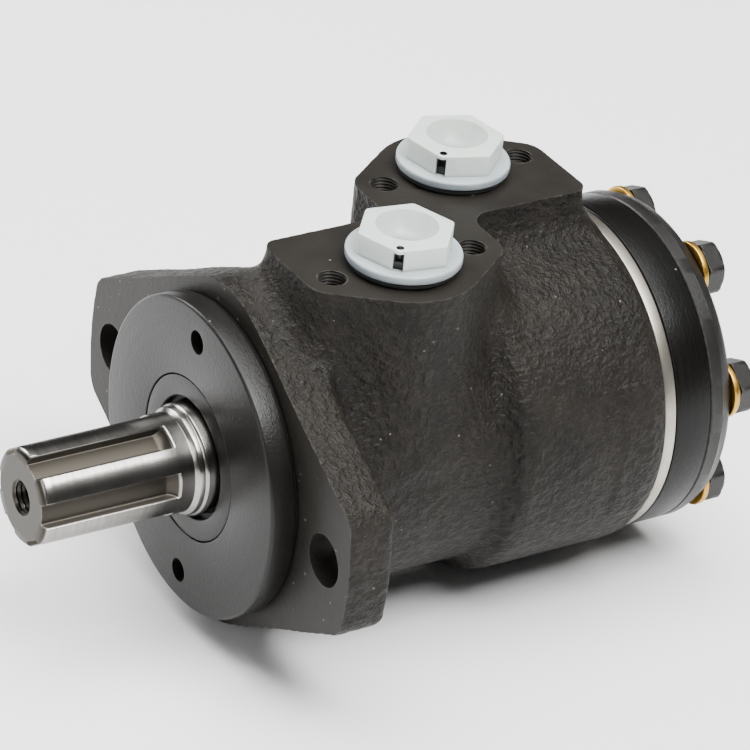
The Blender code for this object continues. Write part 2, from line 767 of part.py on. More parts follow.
def build_plate():
    outlines = [circle(STACK_R, 48), circle(PLATE_HOLE_R, 24)]
    outlines += [circle(BOLT_HOLE_R, 8, centre) for centre in around(BOLT_PCR)]
    outlines += [circle(PLATE_PORT_R, 8, centre) for centre in around(PLATE_PORT_PCR, 0.5)]
    plate = flat("distributor_plate", outlines, PLATE_X, PLATE_X + PLATE_THICK, PARTS)
    face = PLATE_X + PLATE_THICK
    cut(plate, ring_groove("plate_groove_cutter", face - RING_GROOVE_DEPTH, face + 0.0010))
    return tidy(plate, BRIGHT)


def chamber_outline():
    """The inside of the gear ring: a round chamber wall broken by seven inward lobes."""
    centre, lobe, wall = LOBE_CENTRE_R, LOBE_R, CHAMBER_R
    reach = math.acos((centre**2 + wall**2 - lobe**2) / (2 * centre * wall))
    swing = math.acos((centre**2 + lobe**2 - wall**2) / (2 * centre * lobe))
    points = []
    for index in range(LOBES):
        middle = 2 * math.pi * index / LOBES
        ahead = 2 * math.pi * (index + 1) / LOBES
        for k in range(11):
            turn = math.pi + middle + swing * (1 - 2 * k / 10)
            x = centre * math.cos(middle) + lobe * math.cos(turn)
            y = centre * math.sin(middle) + lobe * math.sin(turn)
            points.append((x, y))
        start, stop = middle + reach, ahead - reach
        for k in range(1, 4):
            turn = start + (stop - start) * k / 4
            points.append((wall * math.cos(turn), wall * math.sin(turn)))
    return points


def build_gear_ring():
    outlines = [circle(STACK_R, 48), chamber_outline()]
    outlines += [circle(BOLT_HOLE_R, 8, centre) for centre in around(BOLT_PCR)]
    gear = flat("gear_ring", outlines, GEAR_X, GEAR_X + GEAR_THICK, PARTS)
    return tidy(gear, BLACKED)


def rotor_outline():
    """Six-toothed rotor: the path of the ring's lobes as the rotor rolls, less their radius and the play."""
    points = []
    steps = 100 * (LOBES - 1)
    inset = LOBE_R + RUNNING
    for k in range(steps):
        u = 2 * math.pi * k / steps
        x = LOBE_CENTRE_R * math.cos(u) - ECCENTRICITY * math.cos(LOBES * u)
        y = LOBE_CENTRE_R * math.sin(u) - ECCENTRICITY * math.sin(LOBES * u)
        dx = -LOBE_CENTRE_R * math.sin(u) + LOBES * ECCENTRICITY * math.sin(LOBES * u)
        dy = LOBE_CENTRE_R * math.cos(u) - LOBES * ECCENTRICITY * math.cos(LOBES * u)
        speed = math.hypot(dx, dy)
        points.append((x - inset * dy / speed, y + inset * dx / speed))
    return evenly_spaced(points, 14 * (LOBES - 1))


def evenly_spaced(points, count):
    """The same closed outline through fewer points, equal distances apart along it."""
    ahead = points[1:] + points[:1]
    lengths = [math.dist(a, b) for a, b in zip(points, ahead)]
    step = sum(lengths) / count
    chosen = []
    travelled = 0.0
    for point, length in zip(points, lengths):
        if travelled >= len(chosen) * step - 1e-9:
            chosen.append(point)
        travelled += length
    return chosen[:count]


def build_rotor():
    """The rotor sits below the shaft axis by its eccentricity, with the cardan's rear coupling inside it."""
    outlines = [rotor_outline(), socket_outline()]
    rotor = flat("rotor", outlines, GEAR_X, GEAR_X + GEAR_THICK, PARTS, z=-ECCENTRICITY)
    return tidy(rotor, GROUND)


def build_spacer():
    high = GEAR_X + GEAR_THICK
    radius = COUPLING_ROOT_R + 0.0007 - GAP
    low = high - SPACER_THICK
    profile = [
        (low, 0.0),
        (low, radius - 0.0006),
        (low + 0.0006, radius),
        (high - 0.0004, radius),
        (high, radius - 0.0004),
        (high, 0.0),
    ]
    spacer = turned("cardan_spacer", profile, 20, PARTS, z=-ECCENTRICITY)
    return tidy(spacer, GROUND)


def build_end_cover():
    profile = [
        (END_COVER_X, 0.0),
        (END_COVER_X, STACK_R),
        (END_FACE_X - END_CHAMFER_X, STACK_R),
        (END_FACE_X - END_CHAMFER_X * 0.45, STACK_R - END_CHAMFER_R * 0.30),
        (END_FACE_X, STACK_R - END_CHAMFER_R),
        (END_FACE_X, 0.0),
    ]
    cover = turned("end_cover", profile, 48, PARTS)
    along = (0.0, 0.0, 1.0)
    near, far = END_COVER_X - 0.0020, END_FACE_X + 0.0010
    holes = [((x, y, 0.0), along, near, far, BOLT_HOLE_R) for x, y in around(BOLT_PCR)]
    groove = ring_groove("end_groove_cutter", END_COVER_X - 0.0010, END_COVER_X + RING_GROOVE_DEPTH)
    cut(cover, groove, drills("end_hole_cutter", holes, 8, CUTTERS))
    return tidy(cover, BLACKED)


def build_bolts():
    """Seven hexagon bolts with washers, which clamp the end cover, gear ring and plate to the housing."""
    length = HEAD_X - HOUSING_REAR_X + BOLT_REACH
    corner = BOLT_FLATS / math.sqrt(3)
    blank = flat("bolt_1", [circle(corner, 6, phase=math.radians(8.0))], 0.0, BOLT_HEAD, PARTS)
    edge = corner - 0.0007
    crown = [
        (-0.0010, 0.0),
        (-0.0010, corner + 0.0010),
        (BOLT_HEAD - 0.0008, corner + 0.0004),
        (BOLT_HEAD, edge),
        (BOLT_HEAD, 0.0),
    ]
    trim = turned("head_trim_cutter", crown, 12, CUTTERS)
    shank = [
        (-length, 0.0),
        (-length, BOLT_R - 0.0007),
        (-length + 0.0007, BOLT_R),
        (0.0010, BOLT_R),
        (0.0010, 0.0),
    ]
    stem = turned("bolt_stem_blank", shank, 8, CUTTERS)
    centres = around(BOLT_PCR)
    for obj in (blank, trim, stem):
        obj.location = (HEAD_X, centres[0][1], -centres[0][0])
    combine(blank, trim, "INTERSECT")
    join(blank, stem)
    bolt = tidy(blank, BOLT_STEEL)
    low = END_FACE_X + GAP
    washer = ring("washer_1", 0.0, WASHER_THICK, BOLT_HOLE_R, WASHER_R, 14, BRASS)
    washer.location = (low, centres[0][1], -centres[0][0])
    for index, (x, y) in enumerate(centres[1:], start=2):
        copy_of(bolt, f"bolt_{index}", HEAD_X, y, -x)
        copy_of(washer, f"washer_{index}", low, y, -x)


def build_port_plug():
    """One plug, about the upright axis of the front port, from its stem up to its hexagon."""
    base = BLOCK_TOP + 2 * GAP + PLUG_SEAL_THICK
    deck = base + PLUG_DISC_THICK
    top = deck + PLUG_HEX_HIGH
    low = BLOCK_TOP - PLUG_BODY_DEEP
    stem_in = PLUG_BODY_R - PLUG_WALL
    profile = [
        (low, stem_in),
        (low, PLUG_BODY_R - 0.0006),
        (low + 0.0008, PLUG_BODY_R),
        (base, PLUG_BODY_R),
        (base, PLUG_DISC_R - 0.0005),
        (base + 0.0006, PLUG_DISC_R),
        (deck - 0.0006, PLUG_DISC_R),
        (deck, PLUG_DISC_R - 0.0006),
        (deck, 0.0),
    ]
    profile = [(base - 0.0004, 0.0), (base - 0.0004, stem_in)] + profile
    where = dict(station=BLOCK_X - PORT_DX, y=-PORT_DY, turn=(0.0, 0.0, PLUG_TURN["front"]))
    plug = turned("port_plug_front", profile, 24, PARTS, **where)
    corner = PLUG_HEX_FLATS / math.sqrt(3)
    head = flat("plug_head_blank", [circle(corner, 6)], deck - 0.0005, top, CUTTERS, **where)
    dish = [
        (deck + 0.0010, 0.0),
        (deck + 0.0012, PLUG_WELL_R * 0.55),
        (deck + 0.0030, PLUG_WELL_R * 0.88),
        (top + 0.0010, PLUG_WELL_R),
        (top + 0.0010, 0.0),
    ]
    well = turned("plug_well_cutter", dish, 14, CUTTERS, **where)
    corner_turn = math.radians(240.0)
    out = (math.cos(corner_turn), math.sin(corner_turn), 0.0)
    aside = Matrix.Rotation(corner_turn, 4, "Z")
    shape = bmesh.new()
    size = (0.0040, PLUG_SLOT_WIDTH, top - 0.0008 - deck)
    shift = Matrix.Translation((corner + 0.0002, 0.0, (top - 0.0008 + deck) / 2))
    bmesh.ops.create_cube(shape, size=1.0, matrix=aside @ shift @ Matrix.Diagonal((*size, 1.0)))
    mesh = bpy.data.meshes.new("plug_slot_cutter")
    shape.to_mesh(mesh)
    shape.free()
    slot = add("plug_slot_cutter", mesh, CUTTERS, **where)
    at = (out[0] * (corner - 0.0020), out[1] * (corner - 0.0020), 0.0)
    bore = [(at, (0.0, 0.0, 1.0), deck + 0.0020, top + 0.0010, PLUG_VENT_R)]
    vent = drills("plug_vent_cutter", bore, 8, CUTTERS, **where)
    join(plug, head)
    cut(plug, well, slot, vent)
    return tidy(plug, PLASTIC)


def build_port_closures():
    plug = build_port_plug()
    copy_of(plug, "port_plug_rear", BLOCK_X + PORT_DX, PORT_DY, 0.0, (0.0, 0.0, PLUG_TURN["rear"]))
    low = BLOCK_TOP + GAP
    for name, side in ports():
        high = low + PLUG_SEAL_THICK
        seal = ring(f"plug_seal_{name}", low, high, PORT_BORE_R + GAP, PLUG_SEAL_R, 24, RUBBER)
        seal.location = (BLOCK_X + side * PORT_DX, side * PORT_DY, 0.0)
        seal.rotation_euler = (0.0, 0.0, 0.0)


def build_drain_closure():
    """A socket-headed plug on a sealing washer, turned about the sideways axis of the drain boss."""
    outward = (-math.pi / 2, 0.0, 0.0)
    top = GAP + DRAIN_WASHER_THICK
    washer = ring("drain_washer", GAP, top, DRAIN_STEM_R + GAP, DRAIN_HEAD_R - 0.0003, 20, BRASS)
    base = top + GAP
    profile = [
        (-DRAIN_STEM_DEEP, 0.0),
        (-DRAIN_STEM_DEEP, DRAIN_STEM_R - 0.0006),
        (-DRAIN_STEM_DEEP + 0.0006, DRAIN_STEM_R),
        (base, DRAIN_STEM_R),
        (base, DRAIN_HEAD_R),
        (base + DRAIN_HEAD_THICK - 0.0006, DRAIN_HEAD_R),
        (base + DRAIN_HEAD_THICK, DRAIN_HEAD_R - 0.0006),
        (base + DRAIN_HEAD_THICK, 0.0),
    ]
    plug = turned("drain_plug", profile, 20, PARTS)
    socket = flat(
        "drain_socket_cutter",
        [circle(DRAIN_SOCKET_FLATS / math.sqrt(3), 6)],
        base + 0.0010,
        base + DRAIN_HEAD_THICK + 0.0010,
        CUTTERS,
    )
    for obj in (washer, plug, socket):
        obj.location = (DRAIN_X, DRAIN_FACE_Y, 0.0)
        obj.rotation_euler = outward
    cut(plug, socket)
    return tidy(plug, BOLT_STEEL)


build_housing()
build_front_cover()
build_seals()
build_o_rings()
build_thrust_bearing()
build_output_shaft()
build_cardan_shaft()
build_plate()
build_gear_ring()
build_rotor()
build_spacer()
build_end_cover()
build_bolts()
build_port_closures()
build_drain_closure()
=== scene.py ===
# %% [markdown]
# # An orbital hydraulic motor
# The real motor is a black iron casting with machined faces, a ground steel shaft, a stack of turned rings
# and two white plastic plugs. Its sizes are already fixed by a imported CAD model, whose meshes are coarse.
# Each piece that shows is therefore made again here as a fine surface of the same size, and rides on the CAD
# body it belongs to. This cell loads the CAD model and keeps its box, whose bottom later sets the floor's
# height.

import math

import bmesh
import bpy
import numpy as np
from mathutils import Matrix, Vector


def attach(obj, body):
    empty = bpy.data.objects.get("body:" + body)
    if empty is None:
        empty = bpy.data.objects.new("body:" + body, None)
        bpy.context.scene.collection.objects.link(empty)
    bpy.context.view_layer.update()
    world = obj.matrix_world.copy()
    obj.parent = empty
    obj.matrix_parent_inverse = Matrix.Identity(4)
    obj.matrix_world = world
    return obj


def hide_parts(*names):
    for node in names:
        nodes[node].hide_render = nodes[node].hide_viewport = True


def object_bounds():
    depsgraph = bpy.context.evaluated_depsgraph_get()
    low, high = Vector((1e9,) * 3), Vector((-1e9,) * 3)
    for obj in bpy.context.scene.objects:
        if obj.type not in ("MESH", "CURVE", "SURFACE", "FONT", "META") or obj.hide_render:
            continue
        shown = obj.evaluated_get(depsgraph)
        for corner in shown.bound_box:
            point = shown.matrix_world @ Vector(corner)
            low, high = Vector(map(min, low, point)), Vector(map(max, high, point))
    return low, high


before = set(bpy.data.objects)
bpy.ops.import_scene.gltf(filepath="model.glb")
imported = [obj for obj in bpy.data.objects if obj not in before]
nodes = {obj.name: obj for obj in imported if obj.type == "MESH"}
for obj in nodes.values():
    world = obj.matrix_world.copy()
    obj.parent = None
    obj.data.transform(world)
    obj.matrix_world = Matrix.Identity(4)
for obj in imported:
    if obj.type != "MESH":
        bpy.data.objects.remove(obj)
cad_box = [list(corner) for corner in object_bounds()]
TAU = 2 * math.pi
print("CAD box in metres:", np.round(cad_box, 4).tolist(), "with", len(nodes), "nodes")

# %% [markdown]
# ## From numbers to a mesh
# Lengths below are in millimetres, counted from the flange's mounting face along the shaft, because a fitter
# reads such a motor that way. A mesh could be filled face by face in Python, which is slow for a fine
# surface. Whole arrays go in at once instead: corners, then the faces' corner lists. Poles and seams are
# merged after that, and the faces are turned outward.


# %% Arrays into meshes
MERGE = 2e-6


def mesh_from_arrays(corners, faces):
    """corners is (n, 3) in millimetres and faces is (m, 4) indices, written with foreach_set."""
    mesh = bpy.data.meshes.new("surface")
    mesh.vertices.add(len(corners))
    mesh.vertices.foreach_set("co", (corners * 0.001).astype(np.float32).ravel())
    mesh.loops.add(faces.size)
    mesh.loops.foreach_set("vertex_index", faces.astype(np.int32).ravel())
    mesh.polygons.add(len(faces))
    mesh.polygons.foreach_set("loop_start", np.arange(0, faces.size, 4, dtype=np.int32))
    mesh.update(calc_edges=True)
    return mesh


def close_up(mesh):
    """Merges corners that coincide, within MERGE metres, and turns the faces outward."""
    shape = bmesh.new()
    shape.from_mesh(mesh)
    bmesh.ops.remove_doubles(shape, verts=shape.verts, dist=MERGE)
    bmesh.ops.dissolve_degenerate(shape, edges=shape.edges, dist=1e-7)
    bmesh.ops.recalc_face_normals(shape, faces=shape.faces)
    shape.to_mesh(mesh)
    shape.free()
    return mesh


def shade(mesh, angle=32.0):
    """Smooth shading, except across edges sharper than angle degrees."""
    mesh.shade_smooth()
    mesh.set_sharp_from_angle(angle=math.radians(angle))
    return mesh


def net(rows, columns, joined):
    """Index array of the faces of a grid whose columns close on themselves; joined closes the rows too."""
    last = rows if joined else rows - 1
    row = np.arange(last)[:, None]
    column = np.arange(columns)[None, :]
    ahead = (column + 1) % columns
    above = (row + 1) % rows
    ring = [(row, column), (row, ahead), (above, ahead), (above, column)]
    return np.stack([y * columns + x for y, x in ring]).reshape(4, -1).T


print("mesh helpers ready")

# %% [markdown]
# ## Profiles with real edges
# A turned part has no perfectly sharp corner: each edge is broken with a small radius, which catches a thin
# light. A Bevel modifier could add it afterwards, but here the radius is written beside each corner.


# %% Rounded outlines
def rounded(corners, steps=5, closed=True):
    """Each corner (x, y, radius) becomes an arc: its centre is radius / sin(half angle) along the bisector,
    and its ends are radius / tan(half angle) along the two sides. A radius of 0 keeps the corner."""
    data = np.array(corners, float)
    points = data[:, :2]
    back = np.roll(points, 1, axis=0) - points
    ahead = np.roll(points, -1, axis=0) - points
    pieces = []
    for index, (here, radius) in enumerate(zip(points, data[:, 2])):
        if radius == 0 or (not closed and index in (0, len(points) - 1)):
            pieces.append(here[None, :])
            continue
        one = back[index] / np.linalg.norm(back[index])
        two = ahead[index] / np.linalg.norm(ahead[index])
        half = math.acos(np.clip(one @ two, -1, 1)) / 2
        middle = (one + two) / np.linalg.norm(one + two)
        centre = here + middle * radius / math.sin(half)
        start = here + one * radius / math.tan(half) - centre
        stop = here + two * radius / math.tan(half) - centre
        sweep = math.atan2(start[0] * stop[1] - start[1] * stop[0], start @ stop)
        cos, sin = [f(np.linspace(0, sweep, steps + 1)) for f in (np.cos, np.sin)]
        arc = [start[0] * cos - start[1] * sin, start[0] * sin + start[1] * cos]
        pieces.append(centre + np.stack(arc, axis=1))
    return np.concatenate(pieces)


AXES = {axis: np.roll(np.eye(3), shift, axis=1) for shift, axis in enumerate("xyz")}


def turned(path, columns=96, axis="x", centre=(0, 0, 0), outline=None, joined=False):
    """A surface of two parameters: (along, radius) runs down the path and the angle runs round the axis.
    columns is how many even steps there are round, or the angles themselves where they crowd together.
    AXES turns the path's own axis onto x, y or z. An outline gives the radius at each angle from that of
    the path, so a hexagon is a turned shape cut down to its sides."""
    angle = columns if np.ndim(columns) else np.arange(columns) * TAU / columns
    columns = len(angle)
    along = np.repeat(path[:, :1], columns, axis=1)
    radius = np.repeat(path[:, 1:2], columns, axis=1)
    if outline is not None:
        radius = outline(angle[None, :], radius, along)
    points = np.stack([along, radius * np.cos(angle), radius * np.sin(angle)], axis=-1)
    points = points @ AXES[axis] + np.array(centre, float)
    mesh = mesh_from_arrays(points.reshape(-1, 3), net(len(path), columns, joined))
    return close_up(mesh)


print("a rounded square has", len(rounded([(0, 0, 1), (9, 0, 1), (9, 9, 1), (0, 9, 1)])), "points")

# %% [markdown]
# ## Machining
# A casting is made first and machined after: faces are milled flat and holes drilled. The same order works
# here. Cutters are closed solids, and a stack of Boolean modifiers takes them away one by one. The Manifold
# solver is chosen because it is exact on closed meshes and quick on fine ones.


# %% Cutting tools
OVERSHOOT, THREAD_DEPTH = 1.0, 0.32


def box_mesh(low, high):
    """A box between two corners."""
    pick = np.array([[i, j, k] for i in (0, 1) for j in (0, 1) for k in (0, 1)])
    corners = np.where(pick == 1, high, low).astype(float)
    faces = np.array([[0, 1, 3, 2], [4, 6, 7, 5], [0, 4, 5, 1], [2, 3, 7, 6], [0, 2, 6, 4], [1, 5, 7, 3]])
    return close_up(mesh_from_arrays(corners, faces))


def cutter(path, axis, centre=(0, 0, 0), columns=32):
    return turned(path, columns, axis, centre)


def drill_path(bottom, top, radius, mouth=0.0, pitch=0.0):
    """Profile of a round cutter. With a pitch its wall is a saw of small steps, which cuts a thread. With a
    mouth it widens by that much at the face it enters, which lies OVERSHOOT below its top."""
    wall = np.array([[bottom, radius], [top, radius]])
    if pitch:
        count = int((top - bottom) / pitch)
        along = np.linspace(bottom, bottom + count * pitch, 2 * count + 1)
        wall = np.stack([along, radius + THREAD_DEPTH * (np.arange(2 * count + 1) % 2)], axis=1)
    if mouth:
        start = top - OVERSHOOT - mouth
        cone = [[start, radius], [top, radius + mouth + OVERSHOOT]]
        wall = np.concatenate([wall[wall[:, 0] < start], cone])
    return np.concatenate([[[wall[0, 0], 0]], wall, [[wall[-1, 0], 0]]])


def machined(mesh, cutters):
    """The mesh after every cutter mesh has been taken away from it."""
    work = bpy.data.objects.new("work", mesh)
    bpy.context.scene.collection.objects.link(work)
    tools = []
    for index, shape in enumerate(cutters):
        tool = bpy.data.objects.new(f"tool_{index}", shape)
        bpy.context.scene.collection.objects.link(tool)
        step = work.modifiers.new(f"cut_{index}", "BOOLEAN")
        step.operation = "DIFFERENCE"
        step.solver = "MANIFOLD"
        step.object = tool
        tools.append(tool)
    bpy.context.view_layer.update()
    graph = bpy.context.evaluated_depsgraph_get()
    made = bpy.data.meshes.new_from_object(work.evaluated_get(graph))
    for obj in [work, *tools]:
        bpy.data.objects.remove(obj)
    return made


def add_piece(name, mesh, finish, body, *stands_for):
    """A finished piece: it sits at the origin, wears one finish and rides on a CAD body."""
    mesh.name = name
    mesh.materials.clear()
    mesh.materials.append(FINISHES[finish])
    piece = bpy.data.objects.new(name, mesh)
    bpy.context.scene.collection.objects.link(piece)
    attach(piece, body)
    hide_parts(*stands_for)
    print(f"{name}: {len(mesh.polygons)} faces for {', '.join(stands_for)}")
    return piece


print("cutting tools ready")

# %% [markdown]
# ## Building blocks for finishes
# Every finish below is a Principled BSDF fed by a few effects: cast grain, turning lines, worn edges and
# bright specks. More than one material uses each effect, so each is a node group with named inputs, built
# once. The coordinates are Object coordinates in metres, so a scale of 1000 makes a feature of about a
# millimetre.


# %% Node helpers
def put(tree, kind, wires=None, **settings):
    """Adds a node, sets its properties, then links or sets its inputs."""
    made = tree.nodes.new("ShaderNode" + kind)
    for key, value in settings.items():
        setattr(made, key, value)
    for socket, source in (wires or {}).items():
        if isinstance(source, bpy.types.NodeSocket):
            tree.links.new(source, made.inputs[socket])
        else:
            made.inputs[socket].default_value = source
    return made


def new_group(name, inputs, outputs):
    tree = bpy.data.node_groups.new(name, "ShaderNodeTree")
    for label, value in inputs.items():
        tree.interface.new_socket(label, in_out="INPUT", socket_type="NodeSocketFloat").default_value = value
    for label in outputs:
        tree.interface.new_socket(label, in_out="OUTPUT", socket_type="NodeSocketFloat")
    return tree, tree.nodes.new("NodeGroupInput").outputs, tree.nodes.new("NodeGroupOutput").inputs


def ramp(tree, value, low, high, start=0.0, stop=1.0):
    """Linear map of value from low..high to start..stop, held at both ends."""
    wires = {"Value": value, "From Min": low, "From Max": high, "To Min": start, "To Max": stop}
    return put(tree, "MapRange", wires).outputs["Result"]


def maths(tree, one, two, operation="ADD"):
    """One Math node: the sum unless another operation is named."""
    return put(tree, "Math", {0: one, 1: two}, operation=operation).outputs[0]


def times(tree, one, two):
    return maths(tree, one, two, "MULTIPLY")


def tint(tree, share, one, two):
    """Mix of two colours, each a socket or an (r, g, b)."""
    first, second = [c if isinstance(c, bpy.types.NodeSocket) else (*c, 1.0) for c in (one, two)]
    return put(tree, "Mix", {"Factor": share, 6: first, 7: second}, data_type="RGBA").outputs[2]


def coat(tree, colour, where, share, top):
    """The colour top laid over colour, as strongly as share times where."""
    return tint(tree, times(tree, where, share), colour, top)


def position(tree):
    return put(tree, "TexCoord").outputs["Object"]


def noise(tree, place, scale, **inputs):
    """A 3-D noise over place."""
    return put(tree, "TexNoise", {"Vector": place, "Scale": scale, **inputs}).outputs["Fac"]


print("node helpers ready")

# %% [markdown]
# ## Four shared effects
# **Cast grain** is sand: two noises of different size, sharpened, with a slow patchiness. **Turning lines**
# come from a lathe, so they are rings about the shaft axis: a noise of the radius on flat faces, and of the
# position along the axis on round ones. **Worn edges** compare the surface with a slightly rounded copy of
# itself, which the Bevel node gives. **Specks** are chipped spots and dust: the small cells of a Voronoi
# pattern, of which only a few are kept.


# %% Effects as node groups
def cast_grain():
    tree, given, result = new_group("cast_grain", {"Size": 1.0, "Patch Size": 14.0}, ["Height", "Patches"])
    place = position(tree)
    scale = maths(tree, 1000.0, given["Size"], "DIVIDE")
    coarse = noise(tree, place, scale, Detail=3.0, Roughness=0.58, Distortion=0.15)
    fine = noise(tree, place, times(tree, scale, 2.7), Detail=2.0, Roughness=0.6)
    bumps = ramp(tree, coarse, 0.38, 0.66)
    tree.links.new(maths(tree, bumps, times(tree, fine, 0.45)), result["Height"])
    wide = maths(tree, 1000.0, given["Patch Size"], "DIVIDE")
    slow = noise(tree, place, wide, Detail=4.0, Roughness=0.6)
    tree.links.new(ramp(tree, slow, 0.36, 0.66), result["Patches"])
    return tree


def turning_lines():
    tree, given, result = new_group("turning_lines", {"Pitch": 0.3}, ["Rings", "Bands", "Radius"])
    x, y, z = put(tree, "SeparateXYZ", {"Vector": position(tree)}).outputs
    squares = maths(tree, times(tree, y, y), times(tree, z, z))
    across = put(tree, "Math", {0: squares}, operation="SQRT").outputs[0]
    both = maths(tree, across, x)
    thin = maths(tree, times(tree, both, 1000.0), given["Pitch"], "DIVIDE")
    rings = put(tree, "TexNoise", {"W": thin, "Scale": 1.0, "Detail": 1.0}, noise_dimensions="1D")
    wide = times(tree, thin, 0.12)
    bands = put(tree, "TexNoise", {"W": wide, "Scale": 1.0}, noise_dimensions="1D")
    tree.links.new(rings.outputs["Fac"], result["Rings"])
    tree.links.new(bands.outputs["Fac"], result["Bands"])
    tree.links.new(across, result["Radius"])
    return tree


def worn_edges():
    tree, given, result = new_group("worn_edges", {"Width": 0.0006, "Chips": 500.0}, ["Wear"])
    soft = put(tree, "Bevel", {"Radius": given["Width"]}, samples=6).outputs["Normal"]
    true = put(tree, "NewGeometry").outputs["Normal"]
    likeness = put(tree, "VectorMath", {0: soft, 1: true}, operation="DOT_PRODUCT").outputs["Value"]
    edge = ramp(tree, likeness, 0.995, 0.86)
    chips = noise(tree, position(tree), given["Chips"], Detail=3.0)
    tree.links.new(times(tree, edge, ramp(tree, chips, 0.40, 0.62)), result["Wear"])
    return tree


def specks():
    tree, given, result = new_group("specks", {"Cell": 2.5, "Share": 0.2, "Radius": 0.1}, ["Spots"])
    scale = maths(tree, 1000.0, given["Cell"], "DIVIDE")
    cells = put(tree, "TexVoronoi", {"Vector": position(tree), "Scale": scale, "Randomness": 1.0})
    chosen = put(tree, "SeparateColor", {"Color": cells.outputs["Color"]})
    kept = maths(tree, chosen.outputs[0], given["Share"], "LESS_THAN")
    reach = times(tree, given["Radius"], chosen.outputs[1])
    spot = maths(tree, cells.outputs["Distance"], reach, "LESS_THAN")
    tree.links.new(times(tree, kept, spot), result["Spots"])
    return tree


EFFECTS = {build.__name__: build() for build in (cast_grain, turning_lines, worn_edges, specks)}
print("effects:", ", ".join(EFFECTS))

# %% [markdown]
# ## The finishes
# Black phosphate makes iron dark and slightly brown, with a satin gloss. Ground steel is bright and mirrors
# its surroundings in long streaks. The plugs are natural polythene: milky, because light enters and scatters
# inside, which Subsurface gives. Each kind of finish is one small function, and tables at the end hold the
# values. A row's colours are linear, and its other pair is the range of the roughness.


# %% Finish helpers
def finish_tree(name, **fixed):
    """A new material and its Principled BSDF; uniform values go straight onto the shader's own sockets."""
    made = bpy.data.materials.new(name)
    made.use_nodes = True
    shader = made.node_tree.nodes["Principled BSDF"]
    for label, value in fixed.items():
        shader.inputs[label.replace("_", " ")].default_value = value
    return made, made.node_tree, shader


def effect(tree, name, **values):
    """The outputs of one shared effect, with its inputs set."""
    used = tree.nodes.new("ShaderNodeGroup")
    used.node_tree = EFFECTS[name]
    for label, value in values.items():
        used.inputs[label.replace("_", " ")].default_value = value
    return used.outputs


def finish_with(tree, shader, colour, roughness, height=None, depth=0.0):
    """Wires the colour and roughness to the shader, and a bump depth metres deep if a height is given."""
    tree.links.new(colour, shader.inputs["Base Color"])
    tree.links.new(roughness, shader.inputs["Roughness"])
    if height is not None:
        bump = put(tree, "Bump", {"Height": height, "Distance": depth, "Strength": 1.0})
        tree.links.new(bump.outputs["Normal"], shader.inputs["Normal"])


print("finish helpers ready")


# %% Iron and dark steels
FINE_BUMP = 0.00002


def cast_iron():
    """Sand-cast skin, and satin machined faces where the face attribute called machined is one."""
    made, tree, shader = finish_tree("cast_iron", Specular_IOR_Level=0.17)
    cut = put(tree, "Attribute", attribute_name="machined").outputs["Fac"]
    grain = effect(tree, "cast_grain", Size=2.1, Patch_Size=18.0)
    lines = effect(tree, "turning_lines", Pitch=0.25)
    wear = effect(tree, "worn_edges", Width=0.0007, Chips=450.0)["Wear"]
    spots = effect(tree, "specks", Cell=2.4, Share=0.16, Radius=0.17)["Spots"]
    skin = tint(tree, grain["Patches"], (0.0066, 0.0054, 0.0040), (0.0140, 0.0118, 0.0090))
    hollow = ramp(tree, grain["Height"], 0.25, 0.95, 0.72, 1.0)
    skin = tint(tree, hollow, (0.0022, 0.0020, 0.0018), skin)
    flat = tint(tree, grain["Patches"], (0.0108, 0.0096, 0.0080), (0.0160, 0.0144, 0.0122))
    colour = tint(tree, cut, skin, flat)
    colour = coat(tree, colour, wear, 0.55, (0.075, 0.068, 0.060))
    colour = coat(tree, colour, spots, 0.7, (0.16, 0.145, 0.12))
    raw_gloss = ramp(tree, grain["Height"], 0.2, 1.1, 0.60, 0.46)
    cut_gloss = ramp(tree, lines["Rings"], 0.3, 0.7, 0.40, 0.50)
    gloss = put(tree, "Mix", {"Factor": cut, 2: raw_gloss, 3: cut_gloss}, data_type="FLOAT").outputs[0]
    height = times(tree, grain["Height"], ramp(tree, cut, 0.0, 1.0, 1.0, 0.05))
    finish_with(tree, shader, colour, gloss, height, 0.00038)
    return made


def dark_steel(name, low, high, gloss, sheen):
    """A turned and blackened steel: its colour lies between low and high and its roughness between the two of
    gloss, and sheen is how much it mirrors."""
    made, tree, shader = finish_tree(name, Specular_IOR_Level=sheen)
    grain = effect(tree, "cast_grain", Size=0.8, Patch_Size=22.0)
    lines = effect(tree, "turning_lines", Pitch=0.22)
    wear = effect(tree, "worn_edges", Width=0.0004, Chips=700.0)["Wear"]
    spots = effect(tree, "specks", Cell=3.5, Share=0.06, Radius=0.10)["Spots"]
    share = times(tree, grain["Patches"], ramp(tree, lines["Bands"], 0.3, 0.7))
    colour = tint(tree, share, low, high)
    colour = coat(tree, colour, wear, 0.5, (0.13, 0.12, 0.11))
    colour = coat(tree, colour, spots, 0.6, (0.16, 0.145, 0.125))
    dull = ramp(tree, lines["Rings"], 0.3, 0.7, *gloss)
    finish_with(tree, shader, colour, dull, maths(tree, lines["Rings"], grain["Height"]), FINE_BUMP)
    return made


print("dark finishes ready")


